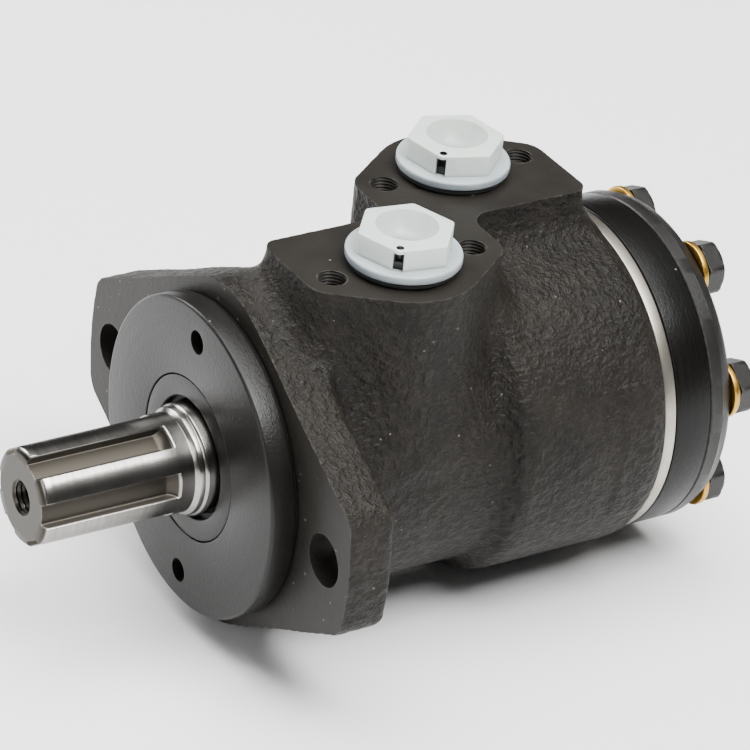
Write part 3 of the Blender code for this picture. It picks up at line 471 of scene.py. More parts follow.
# %% Bright metals
def bright_metal(name, dark, light, gloss, pitch, stain, depth=0.000006, crown=None):
    """Turned or ground metal whose stain colour gathers in patches. Only what lies further than crown from
    the shaft axis was ground bright; what lies inside it keeps an oiled, darker surface."""
    made, tree, shader = finish_tree(name, Metallic=1.0)
    grain = effect(tree, "cast_grain", Size=2.0, Patch_Size=7.0)
    lines = effect(tree, "turning_lines", Pitch=pitch)
    wear = effect(tree, "worn_edges", Width=0.0003, Chips=900.0)["Wear"]
    colour = tint(tree, lines["Bands"], dark, light)
    colour = coat(tree, colour, grain["Patches"], 0.45, stain)
    dull = ramp(tree, lines["Rings"], 0.3, 0.7, *gloss)
    if crown:
        ground = ramp(tree, lines["Radius"], crown - 0.0004, crown)
        colour = tint(tree, ground, (0.040, 0.036, 0.030), colour)
        dull = maths(tree, dull, ramp(tree, ground, 0.0, 1.0, 0.14, 0.0))
    colour = coat(tree, colour, wear, 0.4, (0.52, 0.50, 0.47))
    finish_with(tree, shader, colour, dull, lines["Rings"], depth)
    return made


def seal_rubber():
    made, tree, shader = finish_tree("seal_rubber")
    grain = effect(tree, "cast_grain", Size=0.5, Patch_Size=9.0)
    colour = tint(tree, grain["Patches"], (0.010, 0.010, 0.011), (0.020, 0.020, 0.021))
    gloss = ramp(tree, grain["Height"], 0.2, 1.2, 0.62, 0.78)
    finish_with(tree, shader, colour, gloss, grain["Height"], FINE_BUMP)
    return made


def plug_plastic():
    """Milky polythene, whiter in the thick hexagon and cooler in the thin disc below it. Painted shade: a
    face attribute darkens the vent, its slot and the bottom of the dish, deep places that get little light."""
    made, tree, shader = finish_tree("plug_plastic", Subsurface_Weight=0.45, Subsurface_Scale=0.0018, IOR=1.5)
    shader.inputs["Subsurface Radius"].default_value = (1.0, 0.95, 0.85)
    grain = effect(tree, "cast_grain", Size=1.4, Patch_Size=10.0)
    z = put(tree, "SeparateXYZ", {"Vector": position(tree)}).outputs[2]
    colour = tint(tree, ramp(tree, z, 0.0588, 0.0602), (0.23, 0.265, 0.29), (0.52, 0.57, 0.54))
    colour = coat(tree, colour, grain["Patches"], 0.25, (0.46, 0.48, 0.43))
    # Painted shade: the face attribute mixes the deep vent, slot and dish bottom towards black.
    painted_shade_share = put(tree, "Attribute", attribute_name="painted_shade").outputs["Fac"]
    colour = tint(tree, painted_shade_share, colour, (0.004, 0.004, 0.004))
    gloss = ramp(tree, grain["Height"], 0.2, 1.2, 0.32, 0.44)
    finish_with(tree, shader, colour, gloss, grain["Height"], FINE_BUMP)
    return made


DARK_STEELS = {
    "cover_steel": ((0.0062, 0.0058, 0.0052), (0.0112, 0.0105, 0.0095), (0.28, 0.38), 0.22),
    "gear_ring_steel": ((0.0028, 0.0026, 0.0023), (0.0055, 0.0052, 0.0047), (0.24, 0.34), 0.16),
    "end_cover_steel": ((0.0085, 0.0081, 0.0074), (0.0150, 0.0143, 0.0132), (0.34, 0.46), 0.30),
    "bolt_steel": ((0.008, 0.0075, 0.0068), (0.015, 0.014, 0.0125), (0.30, 0.42), 0.28),
}
BRIGHT_METALS = {
    "plate_steel": ((0.34, 0.32, 0.28), (0.46, 0.44, 0.39), (0.30, 0.40), 0.25, (0.26, 0.22, 0.17)),
    "washer_brass": ((0.55, 0.31, 0.05), (0.72, 0.44, 0.09), (0.28, 0.40), 0.3, (0.34, 0.18, 0.05)),
}
GROUND_STEEL = ((0.25, 0.24, 0.225), (0.40, 0.39, 0.37), (0.18, 0.24), 0.14, (0.15, 0.135, 0.12))
FINISHES = {build.__name__: build() for build in (cast_iron, seal_rubber, plug_plastic)}
FINISHES |= {name: dark_steel(name, *values) for name, values in DARK_STEELS.items()}
FINISHES |= {name: bright_metal(name, *values) for name, values in BRIGHT_METALS.items()}
FINISHES["ground_steel"] = bright_metal("ground_steel", *GROUND_STEEL, depth=0.000002, crown=0.0126)
print("finishes:", ", ".join(FINISHES))

# %% [markdown]
# ## The shape of the casting
# The housing is one iron casting: a flange plate, a neck, a barrel and a block for the ports, all blended
# with soft fillets where the sand mould was rounded. Lofted by hand, each junction would need its own patch.
# A distance field gives them all at once: every region is a formula for how far a point lies outside it, and
# a smooth minimum of two such distances is their union with a fillet. The flat outlines are closed loops of
# points, so their distance is that of the nearest edge, negative inside.

# %% Distance to an outline
FLANGE_THICK, HOUSING_REAR, BLOCK_TOP = 12.5, 105.6, 55.3
BLOCK_X, PORT_DX, PORT_DY, TAP_SPACING = 56.1, 18.28, 17.9, 20.0
DRAIN_X = 26.0
PORTS = {"front": (BLOCK_X - PORT_DX, -PORT_DY), "rear": (BLOCK_X + PORT_DX, PORT_DY)}


def outline_distance(outline, u, v):
    """Signed distance from points (u, v) to a closed outline: the least distance to any edge, with the sign
    of the even-odd rule, which counts how many edges a ray along u crosses."""
    nearest = np.full(np.broadcast(u, v).shape, 1e9)
    inside = np.zeros(nearest.shape, bool)
    for (ax, ay), (bx, by) in zip(outline, np.roll(outline, -1, axis=0)):
        ex, ey = bx - ax, by - ay
        along = np.clip(((u - ax) * ex + (v - ay) * ey) / (ex * ex + ey * ey), 0, 1)
        nearest = np.minimum(nearest, (u - ax - along * ex) ** 2 + (v - ay - along * ey) ** 2)
        if ay != by:
            inside ^= ((ay > v) != (by > v)) & (u < ex * (v - ay) / ey + ax)
    return np.where(inside, -np.sqrt(nearest), np.sqrt(nearest))


def flange_outline():
    """Straight sides 44.1 from the shaft that meet at a round apex, and ends on an arc about the shaft."""
    apex = 44.1 / math.cos(math.radians(29.0))
    side = math.radians(14.0)
    y, z = 65.2 * math.cos(side), 65.2 * math.sin(side)
    upper = [(y, z, 6.5), (0.0, apex, 27.0), (-y, z, 6.5), (-65.4, 0.0, 65.0)]
    lower = [(-x, -y, radius) for x, y, radius in upper]
    return rounded(upper + lower, steps=10)


def block_outline():
    """Two port lobes, each the other turned half round about the middle of the block. A lobe's straight
    flanks touch the boss circle round the port and the smaller circles round its tapped holes."""
    boss, small, end, rear = 19.3, 7.6, 27.5, 21.7
    slope = math.asin((boss - small) / TAP_SPACING)
    tip = boss / math.cos(slope)
    shoulder = (end * math.sin(slope) - boss) / math.cos(slope)
    lobe = [(-end, rear, 4.0), (-end, shoulder, small), (0.0, -tip, boss), (end, shoulder, small)]
    lobe += [(end, 2 * PORT_DY - rear, 6.0)]
    first = [(x - PORT_DX, y - PORT_DY, radius) for x, y, radius in lobe]
    second = [(-x, -y, radius) for x, y, radius in first]
    return rounded([(x + BLOCK_X, y, radius) for x, y, radius in first + second], steps=8)


FLANGE_LINE, BLOCK_LINE = flange_outline(), block_outline()
for name, line in (("flange", FLANGE_LINE), ("port block", BLOCK_LINE)):
    print(name, "outline spans", np.ptp(line, axis=0).round(1), "mm")

# %% [markdown]
# ## Blending the regions
# The smooth minimum rounds the corner between two surfaces over a chosen width. A cast skin is never quite
# even, so a slow wave of a tenth of a millimetre is added to the field. The machined faces will be cut after
# that, so they stay flat, as on the real motor. The barrel carries one plain raised pad, left bare.


# %% The casting as one field
SPARE = 1.5


def blend(a, b, width):
    """Smooth minimum: min(a, b) less width/4 times the squared nearness of the two."""
    near = np.maximum(width - np.abs(a - b), 0) / width
    return np.minimum(a, b) - near * near * width / 4


def slab(x, low, high):
    """Distance outside the layer between low and high."""
    return np.maximum(low - x, x - high)


def meet(a, b, width):
    """Smooth maximum, the rounded edge of what two regions share."""
    return -blend(-a, -b, width)


def skin_wave(x, y, z):
    """The sum of two products of slow sines, each along its own direction, about 0.1 mm high."""
    first = np.sin(0.83 * x + 0.51 * y - 0.37 * z) * np.sin(0.29 * x - 0.74 * y + 0.58 * z)
    second = np.sin(1.61 * x - 0.93 * z + 1.7) * np.sin(1.37 * y + 1.13 * z)
    return 0.07 * first + 0.045 * second


def casting(x, y, z):
    """Distance in millimetres outside the raw casting, for arrays of points that broadcast together. The
    barrel is the radius at each station along the shaft. flash is the thin line that the two halves of the
    mould leave across the flange's edge. Faces that will be machined get SPARE more, to be cut off."""
    across = np.sqrt(y * y + z * z)
    stations = np.array([-5, 59.3, 61.0, 63.4, 66.0, 103.2, 106.2, 112])
    radii = np.array([40.0, 40.0, 41.2, 43.7, 44.6, 44.6, 43.3, 43.3])
    barrel = meet((across - np.interp(x, stations, radii)) * 0.97, slab(x, 0.5, HOUSING_REAR + SPARE), 0.5)
    angle = np.degrees(np.arctan2(z, -y))
    pad = np.maximum(slab(x, 92.5, 101.8), slab(angle, -25.0, 26.0) * 0.75)
    barrel = blend(barrel, np.maximum(pad, across - 45.0), 0.5)
    flash = np.where(z > 0, 0.45, 0.0) * np.exp(-(((y + 0.35 * np.sin(1.9 * x)) / 0.9) ** 2))
    flange = meet(outline_distance(FLANGE_LINE, y, z) - flash, slab(x, -SPARE, FLANGE_THICK), 2.2)
    ports = meet(outline_distance(BLOCK_LINE, x, y), slab(z, 12.0, BLOCK_TOP + SPARE), 0.8)
    drain = np.maximum(np.sqrt((x - DRAIN_X) ** 2 + z * z) - 11.0, slab(y, 25.0, 45.5))
    body = blend(barrel, flange, 7.0)
    body = blend(body, ports, 9.0)
    return blend(body, drain, 5.0) + skin_wave(x, y, z)


print("the field at the barrel's middle is", round(float(casting(*np.array([80.0, 0.0, -44.6]))), 2), "mm")

# %% [markdown]
# ## From the field to a surface
# A grid of small cells is laid over the casting. Each cell that the surface passes through gets one corner,
# which then slides down the field's slope until it lies on it, and each grid edge that the surface crosses
# gets one face between the four cells round it. This is the surface net method: whole arrays again, with even
# quads and no slivers, which suits a soft shape better than marching cubes.


# %% Surface net
def beside(index, axis, i, j):
    """One of the four cells round each grid edge: i and j steps back along the two axes across it."""
    at = index.copy()
    first, second = [k for k in range(3) if k != axis]
    at[:, first] -= i
    at[:, second] -= j
    return tuple(at.T)


def surface_net(field, low, high, cell):
    """Corners: mean crossing point of each cut cell, then three Newton steps p - field * slope.
    Faces: one quad per grid edge whose two ends lie on opposite sides."""
    axes = [np.arange(a, b + cell, cell) for a, b in zip(low, high)]
    value = field(axes[0][:, None, None], axes[1][None, :, None], axes[2][None, None, :])
    solid = value < 0
    total = np.zeros(tuple(n - 1 for n in value.shape) + (3,))
    count = np.zeros(total.shape[:3])
    edges = []
    for axis in range(3):
        near = [slice(None)] * 3
        far = [slice(None)] * 3
        near[axis], far[axis] = slice(0, -1), slice(1, None)
        a, b = value[tuple(near)], value[tuple(far)]
        cross = solid[tuple(near)] != solid[tuple(far)]
        index = np.argwhere(cross)
        share = (a[cross] / (a[cross] - b[cross]))[:, None]
        point = np.stack([axes[k][index[:, k]] for k in range(3)], axis=1)
        point[:, axis : axis + 1] += share * cell
        edges.append((axis, index, solid[tuple(near)][cross]))
        for i, j in ((0, 0), (0, 1), (1, 0), (1, 1)):
            at = beside(index, axis, i, j)
            np.add.at(total, at, point)
            np.add.at(count, at, 1)
    used = count > 0
    number = np.full(count.shape, -1, np.int64)
    number[used] = np.arange(used.sum())
    corners = total[used] / count[used][:, None]
    for _ in range(3):
        corners = pulled_on(field, corners)
    faces = []
    for axis, index, inward in edges:
        ring = ((0, 0), (1, 0), (1, 1), (0, 1))
        quad = np.stack([number[beside(index, axis, i, j)] for i, j in ring], axis=1)
        turn = inward if axis != 1 else ~inward
        quad[turn] = quad[turn][:, ::-1]
        faces.append(quad)
    return mesh_from_arrays(corners, np.concatenate(faces))


def slope_of(field, points):
    """Central differences of the field along the three axes."""
    step = 0.05
    parts = []
    for axis in range(3):
        shift = np.zeros(3)
        shift[axis] = step
        parts.append((field(*(points + shift).T) - field(*(points - shift).T)) / (2 * step))
    return np.stack(parts, axis=1)


def pulled_on(field, points):
    """One Newton step down the slope, onto the surface where the field is 0."""
    slope = slope_of(field, points)
    length = np.maximum((slope**2).sum(axis=1), 0.2)
    return points - (field(*points.T) / length)[:, None] * slope


CELL = 0.9
raw = surface_net(casting, (-4, -70, -50), (110, 70, 60), CELL)
print("raw casting:", len(raw.vertices), "corners,", len(raw.polygons), "faces")

# %% [markdown]
# ## Machining the housing
# The foundry's casting is faced and bored in the machine shop. The same tools run here: two face cuts, the
# port face, the stepped bore, the bolt holes, two ports and the four tapped holes beside them. Each drilled
# hole is a closed turned cutter, so threads are modelled as a real saw of small steps.


# %% Machined faces and holes
BOLTS = [(36.0 * math.sin(k * TAU / 7), -36.0 * math.cos(k * TAU / 7)) for k in range(7)]
BOLT_HOLE, MOUNT_HOLE, MOUNT_HOLE_Y, PORT_BORE = 4.3, 6.75, 53.2, 10.5
bore = np.array([[-9, 0], [-9, 29.2], [12.5, 29.2], [13.1, 18.0], [115, 18.0], [115, 0]], float)
cuts = [
    box_mesh((-12, -80, -60), (0, 80, 70)),
    box_mesh((HOUSING_REAR, -80, -60), (125, 80, 70)),
    box_mesh((2, -70, BLOCK_TOP), (112, 70, 75)),
    cutter(bore, "x", columns=96),
    cutter(drill_path(34.0, 52.0, 6.2, 0.8, 0.75), "y", (DRAIN_X, 0, 0), 48),
    box_mesh((12, 44.0, -14), (40, 60, 14)),
]
for side in (-1, 1):
    path = drill_path(-5, 40, MOUNT_HOLE)
    cuts.append(cutter(path, "x", (0, side * MOUNT_HOLE_Y, 0), 64))
for y, z in BOLTS:
    cuts.append(cutter(drill_path(91.1, 108.0, BOLT_HOLE), "x", (0, y, z)))
for x, y in PORTS.values():
    cuts.append(cutter(drill_path(40.0, 57.4, PORT_BORE, 1.1, 0.9), "z", (x, y, 0), 72))
    cuts.append(cutter(drill_path(22.0, 41.0, 6.5), "z", (x, 0.6 * y, 0)))
    for side in (-1, 1):
        path = drill_path(41.0, 57.0, 3.5, 0.5, 0.9)
        cuts.append(cutter(path, "z", (x + side * TAP_SPACING, y, 0), 40))
housing_mesh = machined(raw, cuts)
bpy.data.meshes.remove(raw)
print("machined housing:", len(housing_mesh.polygons), "faces")


def face_middles(mesh):
    """The middle of every face, in millimetres."""
    middle = np.zeros(len(mesh.polygons) * 3, np.float32)
    mesh.polygons.foreach_get("center", middle)
    return middle.reshape(-1, 3).astype(float) * 1000


def mark_faces(mesh, name, values):
    """Writes one number per face, which a finish reads by its name."""
    layer = mesh.attributes.new(name, "FLOAT", "FACE")
    layer.data.foreach_set("value", values.astype(np.float32))


# A face is machined where its middle lies off the raw casting's skin.
off_skin = np.abs(casting(*face_middles(housing_mesh).T)) > 0.16
mark_faces(housing_mesh, "machined", off_skin)
add_piece("housing_casting", shade(housing_mesh, 28.0), "cast_iron", "motor_case", "housing")

# %% [markdown]
# ## Front cover and its seals
# The cover is a turned disc with a spigot that centres it in the housing. Two blind holes take a pin spanner.
# Its profile is one closed loop, carried right round the shaft axis, and the holes are drilled after that.


# %% Front cover, retainer and dust seal
def turned_piece(name, corners, finish, body, stands_for, columns=128, drills=(), steps=4, **where):
    """A closed profile with rounded corners, turned, then drilled."""
    mesh = turned(rounded(corners, steps), columns, joined=True, **where)
    mesh = machined(mesh, drills) if drills else mesh
    return add_piece(name, shade(mesh), finish, body, stands_for)


cover = [(-7.75, 21.5, 0.25), (-7.75, 41.25, 0.9), (-1.6, 41.25, 0.25), (-1.3, 40.5, 0.1)]
cover += [(-0.3, 40.5, 0.1), (-0.3, 28.9, 0.2), (5.0, 28.9, 0.5), (5.0, 21.5, 0.3)]
cover += [(0.5, 21.5, 0.1), (0.5, 15.8, 0.3), (-1.95, 15.8, 0.3), (-1.95, 21.5, 0.1)]
pin_path = drill_path(-20, -2.75, 3.1)
pin_holes = [cutter(pin_path, "x", (0, 0, side * 33.2), 48) for side in (-1, 1)]
turned_piece("cover_disc", cover, "cover_steel", "motor_case", "front_cover", 192, pin_holes)
retainer = [(-7.6, 15.8, 0.5), (-7.6, 21.2, 0.25), (-5.3, 21.2, 0.1), (-5.3, 15.8, 0.1)]
turned_piece("retainer_ring", retainer, "cover_steel", "motor_case", "seal_retainer")
wiper = [(-5.0, 14.6, 0.3), (-5.0, 21.2, 0.2), (-2.4, 21.2, 0.2), (-2.4, 14.6, 0.3)]
turned_piece("wiper_ring", wiper, "seal_rubber", "motor_case", "dust_seal")

# %% [markdown]
# ## The splined shaft
# Six teeth with parallel sides are milled into a ground shaft. It could be an extruded outline, but then the
# grooves would end in a step. On the real shaft they run out in a ramp. As a turned surface whose radius is
# the least of the profile and the groove's own radius at each angle, tooth, ramp and chamfer come out
# together. The columns crowd together on the tooth sides, where the radius changes fast.


# %% Output shaft
CROWN, TOOTH_HALF, TOOTH_AT = 12.7, 3.175, 96.0


def spline_radius(angle, radius, along):
    """The side of a tooth of half width h has the polar radius h / |sin(angle off the tooth's middle)|, held
    between the root and the crown with small roundings. The root climbs near the inner end."""
    off = (angle + math.radians(TOOTH_AT) + TAU / 12) % (TAU / 6) - TAU / 12
    side = TOOTH_HALF / np.maximum(np.abs(np.sin(off)), 1e-3)
    root = 10.8 + 2.1 * np.clip((along + 19.8) / 3.4, 0, 1) ** 1.7
    groove = meet(blend(side, CROWN, 0.3), root, 0.7)
    return np.where(along < -16.3, np.minimum(radius, groove), radius)


half = np.concatenate([np.linspace(0, 13.5, 7), np.linspace(13.9, 17.6, 15), np.linspace(18.6, 29.4, 8)])
tooth = np.concatenate([-half[:0:-1], half])
spline_angles = np.radians((tooth[None, :] + 60.0 * np.arange(6)[:, None]).ravel() - TOOTH_AT)
profile = [[-54.0, 0], [-54.0, 5.6], [-54.0, 9.5], [-54.0, 11.5], [-53.8, 11.85], [-53.1, 12.55]]
tooth_steps = (-52.8, *np.arange(-51.0, -20.5, 1.5), *np.arange(-20.2, -16.0, 0.25), -12.9)
profile += [[x, CROWN] for x in tooth_steps]
profile += [[-12.6, 12.75], [-11.8, 13.55], [-11.5, 13.7], [-10.4, 13.7], [-10.2, 13.75], [-9.8, 14.15]]
profile += [[-9.5, 14.25], [9.4, 14.25], [9.4, 26.0], [12.2, 26.0]]
# The spool: three ring grooves in a ground cylinder, given as (start, stop, radius of the floor).
SPOOL_R = 17.75
profile += [[12.2, SPOOL_R]]
for begin, finish, floor in ((22.5, 29.5, 16.75), (33.8, 41.8, 15.05), (70.4, 78.4, 15.05)):
    profile += [[begin, SPOOL_R], [begin, floor], [finish, floor], [finish, SPOOL_R]]
profile += [[104.8, SPOOL_R], [105.4, 17.15], [105.4, 0]]
shaft_mesh = turned(np.array(profile, float), spline_angles, outline=spline_radius)
mirror = np.array([-1.0, 1.0])
end_hole = cutter(drill_path(32.0, 55.0, 4.0, 0.7, 1.25) * mirror, "x", columns=64)
well_path = [[49.5, 0], [49.5, 12.2], [64.5, 12.2], [64.6, 12.5], [107, 12.5], [107, 0]]
well = cutter(np.array(well_path), "x", columns=72)
shaft_mesh = machined(shaft_mesh, [end_hole, well])
add_piece("splined_shaft", shade(shaft_mesh, 30.0), "ground_steel", "output_shaft", "output_shaft")

# %% [markdown]
# ## The stack behind the housing
# A bright plate, the black gear ring and the end cover are clamped behind the housing. Seven bolts pass
# through them, so the same seven drills go through each. The gear ring's inside is the real working shape:
# seven round lobes in a chamber.

# %% Plate, gear ring and end cover
STACK_R, CHAMBER_R, LOBE_R, LOBE_CENTRE = 43.3, 28.35, 8.0, 30.0


def bolt_drills():
    path = drill_path(100, 140, BOLT_HOLE)
    return [cutter(path, "x", (0, y, z)) for y, z in BOLTS]


def chamber(angle, radius, along):
    """Distance c cos(a) - sqrt(r^2 - (c sin(a))^2) to the near side of the nearest lobe, of radius r about a
    middle at c, or else the chamber's wall. The ring's outer side is left as it is."""
    off = (angle + TAU / 4 + TAU / 14) % (TAU / 7) - TAU / 14
    inside = LOBE_R**2 - (LOBE_CENTRE * np.sin(off)) ** 2
    near = LOBE_CENTRE * np.cos(off) - np.sqrt(np.maximum(inside, 0))
    wall = np.where(inside > 0, np.minimum(CHAMBER_R, near), CHAMBER_R)
    return np.where(radius < 35, wall, radius)


plate = [(105.9, 15.5, 0.2), (105.9, STACK_R, 0.3), (109.2, STACK_R, 0.3), (109.2, 15.5, 0.2)]
turned_piece("bright_plate", plate, "plate_steel", "motor_case", "distributor_plate", 192, bolt_drills())
ring = [(109.5, CHAMBER_R, 0), (109.5, STACK_R, 0.35), (119.9, STACK_R, 0.35), (119.9, CHAMBER_R, 0)]
drills = bolt_drills()
turned_piece("lobed_ring", ring, "gear_ring_steel", "motor_case", "gear_ring", 252, drills, outline=chamber)


def forged_edge(angle, radius, along):
    """The chamfer starts at a slightly uneven line, because the blank was forged and only its rim turned."""
    wave = 0.10 * np.sin(9 * angle) * np.sin(4 * angle + 1) + 0.05 * np.sin(31 * angle) * np.sin(13 * angle)
    return radius + np.where((along > 123.8) & (radius > 42.2), wave - 0.15, 0.0)


lid = [[120.2, 0], [120.2, 28], [120.2, 43.0], [120.5, STACK_R], [123.6, STACK_R], [124.0, 43.25]]
lid += [[125.4, 42.75], [126.3, 42.2], [126.8, 41.7], [127.0, 41.2], [127.0, 30], [127.0, 0]]
lid_mesh = turned(np.array(lid, float), 252, outline=forged_edge)
lid_mesh = machined(lid_mesh, bolt_drills())
add_piece("end_plate", shade(lid_mesh, 24.0), "end_cover_steel", "motor_case", "end_cover")

# %% [markdown]
# ## Bolts and washers
# A hexagon could be a six-sided cylinder, but forged corners are soft. Here the turned profile is scaled by a
# hexagon whose corners are eased: a high power sum over the six sides stands in for the sharp maximum.


# %% Hexagons
SHARPNESS = 44


def hexagon(angle, flats, phase):
    """Polar radius flats / 2 over the p-norm of the cosines to the six sides, where p is SHARPNESS. One
    corner is at phase."""
    sides = phase + TAU / 12 + np.arange(6) * TAU / 6
    cosines = np.maximum(np.cos(angle[..., None] - sides), 0)
    return flats / 2 / (cosines**SHARPNESS).sum(axis=-1) ** (1 / SHARPNESS)


def bolt_outline(angle, radius, along):
    """Above the bolt's flange the head is cut down to a 13 mm hexagon."""
    return np.where(along > 129.5, np.minimum(radius, hexagon(angle, 13.0, math.radians(-82.0))), radius)


shank = [[92.6, 0], [92.6, 3.3], [93.3, 4.0], [129.2, 4.0], [129.2, 6.2], [129.45, 6.2]]
head = [[129.6, 6.3], [129.6, 7.3], [129.8, 7.5], [133.6, 7.5], [134.1, 7.1], [134.5, 6.4]]
top = [[134.68, 6.0], [134.7, 5.6], [134.5, 4.4], [134.5, 0]]
bolt_path = np.array(shank + head + top)
washer = [(127.3, BOLT_HOLE, 0.2), (127.3, 7.6, 0.35), (128.9, 7.6, 0.35), (128.9, BOLT_HOLE, 0.2)]
for number, (y, z) in enumerate(BOLTS, start=1):
    mesh = turned(bolt_path, 96, centre=(0, y, z), outline=bolt_outline)
    add_piece(f"cover_bolt_{number}", shade(mesh, 26.0), "bolt_steel", "motor_case", f"bolt_{number}")
    name, node = f"bolt_washer_{number}", f"washer_{number}"
    turned_piece(name, washer, "washer_brass", "motor_case", node, 64, centre=(0, y, z))

# %% [markdown]
# ## Port plugs
# Each port is closed for transport with a moulded plug: a threaded stem, a disc that presses a seal ring, and
# a hexagon with a dished well and a vent hole at one corner. The body is turned, with its head scaled to a
# hexagon, and the well, slot and vent are cut out of it.


# %% Plug bodies
DISC_TOP, HEAD_TOP, STEM_R = 59.3, 65.2, 9.9
LEAN, VENT_OUT, VENT_R = 1.3, 10.6, 1.0


def plug_path():
    """The profile from the hollow of the stem down, up its thread, over the disc and up the hexagon."""
    hollow = [(56.7, 0, 0), (56.7, 8.0, 0.6), (42.8, 8.0, 0.3), (42.8, 9.7, 0.4), (43.6, STEM_R, 0)]
    along = np.linspace(43.8, 55.6, 15)
    thread = np.stack([along, 9.85 + 0.33 * (np.arange(15) % 2)], axis=1)
    disc = [(56.0, STEM_R, 0), (57.1, STEM_R, 0.1), (57.1, 14.5, 0.45), (DISC_TOP, 14.5, 0.7)]
    disc = rounded([*disc, (DISC_TOP, 12.75, 0)], 5, False)
    knob = rounded([(DISC_TOP + 0.05, 12.7, 0), (HEAD_TOP, 12.7, 0.35), (HEAD_TOP, 0, 0)], 4, False)
    return np.concatenate([rounded(hollow, 4, False), thread, disc[:-1], [[DISC_TOP, 12.72]], knob])


def painted_shade_of(middle, out, x, y):
    """Painted shade for each face: 1 in the vent, less in the slot, and more towards the bottom of the dish,
    where less light reaches.
    """
    middle = middle - (x, y, 0)
    level = middle[:, 2]
    outward = middle[:, 0] * math.cos(out) + middle[:, 1] * math.sin(out)
    aside = middle[:, 1] * math.cos(out) - middle[:, 0] * math.sin(out)
    below_rim = level < HEAD_TOP - 0.05
    in_vent = (np.hypot(outward - VENT_OUT, aside) < VENT_R + 0.03) & below_rim & (level > 61.0)
    in_slot = (outward > VENT_OUT) & (np.abs(aside) < 1.31) & (level > DISC_TOP + 0.01) & (level < 64.31)
    in_dish = (np.hypot(outward + LEAN, aside) < 7.9) & (level > DISC_TOP - 0.05) & below_rim
    painted_dish_shade = np.where(in_dish, 0.34 * np.clip((64.5 - level) / 5.2, 0, 1) ** 1.5, 0)
    return np.where(in_vent, 1.0, np.where(in_slot, 0.22, painted_dish_shade))


def plug_mesh(x, y, turn):
    """The turned body with its head scaled to a hexagon, less the dish, the vent and the slot under it."""

    def outline(angle, radius, along):
        share = hexagon(angle, 22.0, turn) / (11.0 / math.cos(TAU / 12))
        return np.where(along > DISC_TOP + 0.01, radius * share, radius)

    body = turned(plug_path(), 144, "z", (x, y, 0), outline=outline)
    out = turn + math.radians(240.0)
    lean = (x - LEAN * math.cos(out), y - LEAN * math.sin(out), 0)
    share = np.linspace(0, 1, 15)
    dish = np.stack([DISC_TOP + 6.0 * share**2.3, 1.2 + 6.7 * share**0.8], axis=1)
    dish = np.concatenate([[[DISC_TOP, 0]], dish, [[67.0, 9.6], [67.0, 0]]])
    well = cutter(dish, "z", lean, 72)
    at = (x + VENT_OUT * math.cos(out), y + VENT_OUT * math.sin(out), 0)
    vent = cutter(drill_path(61.3, 67.0, VENT_R), "z", at, 24)
    slot = box_mesh((10.7, -1.3, DISC_TOP), (14.0, 1.3, 64.3))
    slot.transform(Matrix.Translation((x / 1000, y / 1000, 0)) @ Matrix.Rotation(out, 4, "Z"))
    made = machined(body, [well, vent, slot])
    # Painted shade of the vent, slot and dish, stored as a face attribute that the plug's finish reads.
    mark_faces(made, "painted_shade", painted_shade_of(face_middles(made), out, x, y))
    return made


print("a plug's profile has", len(plug_path()), "points")


# %% Plugs and their seals
for name, turn in (("front", math.radians(-9.7)), ("rear", math.radians(-19.0))):
    x, y = PORTS[name]
    mesh = shade(plug_mesh(x, y, turn), 30.0)
    add_piece(f"hex_plug_{name}", mesh, "plug_plastic", f"port_plug_{name}", f"port_plug_{name}")
    seal = [(55.6, 10.8, 0.3), (55.6, 13.8, 0.4), (56.8, 13.8, 0.4), (56.8, 10.8, 0.3)]
    body = f"plug_seal_{name}"
    turned_piece(f"plug_ring_{name}", seal, "seal_rubber", body, body, 96, axis="z", centre=(x, y, 0))

# %% [markdown]
# ## Drain plug
# The case drain is closed with a socket-head plug on a brass ring. It sits in a flat boss on the neck's far
# flank. Its socket is a turned cutter of only six columns, which makes it a hexagon.

# %% Drain plug and washer
screw = [[36.0, 0], [36.0, 5.5], [36.6, 6.2], [46.1, 6.2]]
cap = [[46.1, 9.2], [46.4, 9.5], [50.4, 9.5], [51.0, 8.9], [51.1, 0]]
drain_mesh = turned(np.array(screw + cap), 96, "y", (DRAIN_X, 0, 0))
socket = cutter(drill_path(47.1, 53.0, 3.46), "y", (DRAIN_X, 0, 0), 6)
drain_mesh = machined(drain_mesh, [socket])
add_piece("drain_screw", shade(drain_mesh), "bolt_steel", "motor_case", "drain_plug")
brass = [(44.3, 6.6, 0.2), (44.3, 9.2, 0.3), (45.8, 9.2, 0.3), (45.8, 6.6, 0.2)]
where = {"axis": "y", "centre": (DRAIN_X, 0, 0)}
turned_piece("drain_ring", brass, "washer_brass", "motor_case", "drain_washer", 72, **where)

# %% [markdown]
# ## The pieces inside
# The rotor, the cardan shaft and the seals inside are never seen from outside, so their CAD meshes are fine
# enough. They still get a proper finish, because the library may show the motor taken apart.

# %% Finishes for the carried-over nodes
INSIDE = {
    "ground_steel": ("rotor", "cardan_shaft", "cardan_spacer", "thrust_race", "thrust_cage"),
    "seal_rubber": ("shaft_seal", "cover_o_ring", "rear_o_ring", "plate_o_ring", "end_o_ring"),
}
for finish, names in INSIDE.items():
    for name in names:
        nodes[name].data.materials.clear()
        nodes[name].data.materials.append(FINISHES[finish])
print("inside:", sum(len(names) for names in INSIDE.values()), "nodes")

# %% [markdown]
# ## Floor, light and camera
# A pale floor and large soft lamps suit dark metal: what shows is mostly the lamps' reflections. The room is
# dark near the horizon and bright overhead, so that round steel gets dark and light streaks. The key lamp
# hangs above the side of the front port, a weak one lights the front face, one behind draws the rear edge,
# and a wide one overhead fills in.


# %% Studio
def floor_finish():
    made, tree, shader = finish_tree("studio_floor")
    cloud = noise(tree, position(tree), 3.0, Detail=2.0)
    colour = tint(tree, cloud, (0.86, 0.86, 0.86), (0.88, 0.88, 0.88))
    finish_with(tree, shader, colour, ramp(tree, cloud, 0, 1, 0.8, 0.9))
    return made


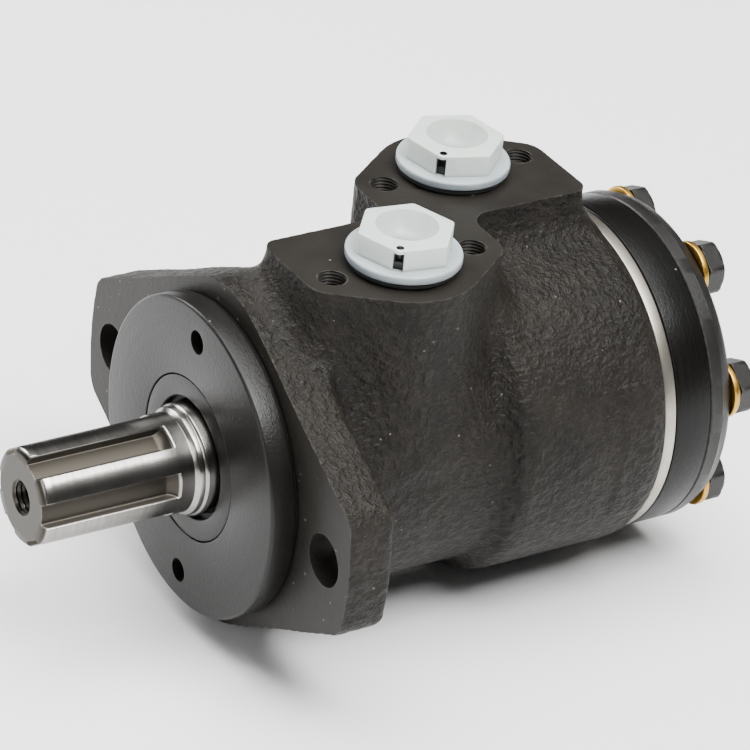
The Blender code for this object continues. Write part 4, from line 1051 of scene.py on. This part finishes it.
floor_level = float(cad_box[0][2]) * 1000 - 0.05
HALF = 4000.0
corners = [[x, y, floor_level] for x, y in ((-HALF, -HALF), (HALF, -HALF), (HALF, HALF), (-HALF, HALF))]
floor_mesh = mesh_from_arrays(np.array(corners), np.array([[0, 1, 2, 3]]))
floor_mesh.name = "studio_floor"
floor_mesh.materials.append(floor_finish())
floor = bpy.data.objects.new("studio_floor", floor_mesh)
bpy.context.scene.collection.objects.link(floor)

world = bpy.data.worlds.new("studio")
world.use_nodes = True
sky = world.node_tree
upward = put(sky, "SeparateXYZ", {"Vector": put(sky, "TexCoord").outputs["Generated"]}).outputs[2]
glow = sky.nodes["Background"].inputs
sky.links.new(ramp(sky, upward, 0.45, 0.9, 0.05, 0.62), glow["Strength"])
glow["Color"].default_value = (1.0, 1.0, 1.0, 1.0)
bpy.context.scene.world = world
AIM = Vector((0.045, 0.0, 0.005))


def lamp(name, place, size, power):
    """A square white lamp that looks at the motor's middle: its side is in metres, its power in watts."""
    data = bpy.data.lights.new(name, "AREA")
    data.size = size
    data.energy = power
    made = bpy.data.objects.new(name, data)
    made.location = place
    made.rotation_mode = "QUATERNION"
    made.rotation_quaternion = (AIM - Vector(place)).to_track_quat("-Z", "Y")
    bpy.context.scene.collection.objects.link(made)


lamp("key_lamp", (0.20, -0.55, 0.95), 0.50, 20.0)
lamp("front_lamp", (-1.0, -0.30, 0.45), 0.5, 4.0)
lamp("rear_lamp", (-0.25, 1.0, 0.62), 0.5, 12.0)
lamp("top_lamp", (0.0, 0.1, 1.9), 1.6, 80.0)
print("floor at", round(floor_level, 2), "mm")

# %% [markdown]
# ## Camera
# A long lens from the front left and above. Its place and turn are written as the three axes of the camera:
# right, up and back.

# %% Camera
right, up, back = (0.8516, -0.5162, 0.0912), (0.1990, 0.4794, 0.8548), (-0.4849, -0.7098, 0.5110)
lens = bpy.data.cameras.new("studio_camera")
lens.lens, lens.sensor_width = 218.98, 36.0
lens.clip_start, lens.clip_end = 0.05, 20.0
camera = bpy.data.objects.new("studio_camera", lens)
camera.rotation_mode = "QUATERNION"
camera.rotation_quaternion = Matrix((right, up, back)).transposed().to_quaternion()
camera.location = (-0.5106, -0.8139, 0.5975)
bpy.context.scene.collection.objects.link(camera)
bpy.context.scene.camera = camera
print("camera at", tuple(round(v, 3) for v in camera.location))
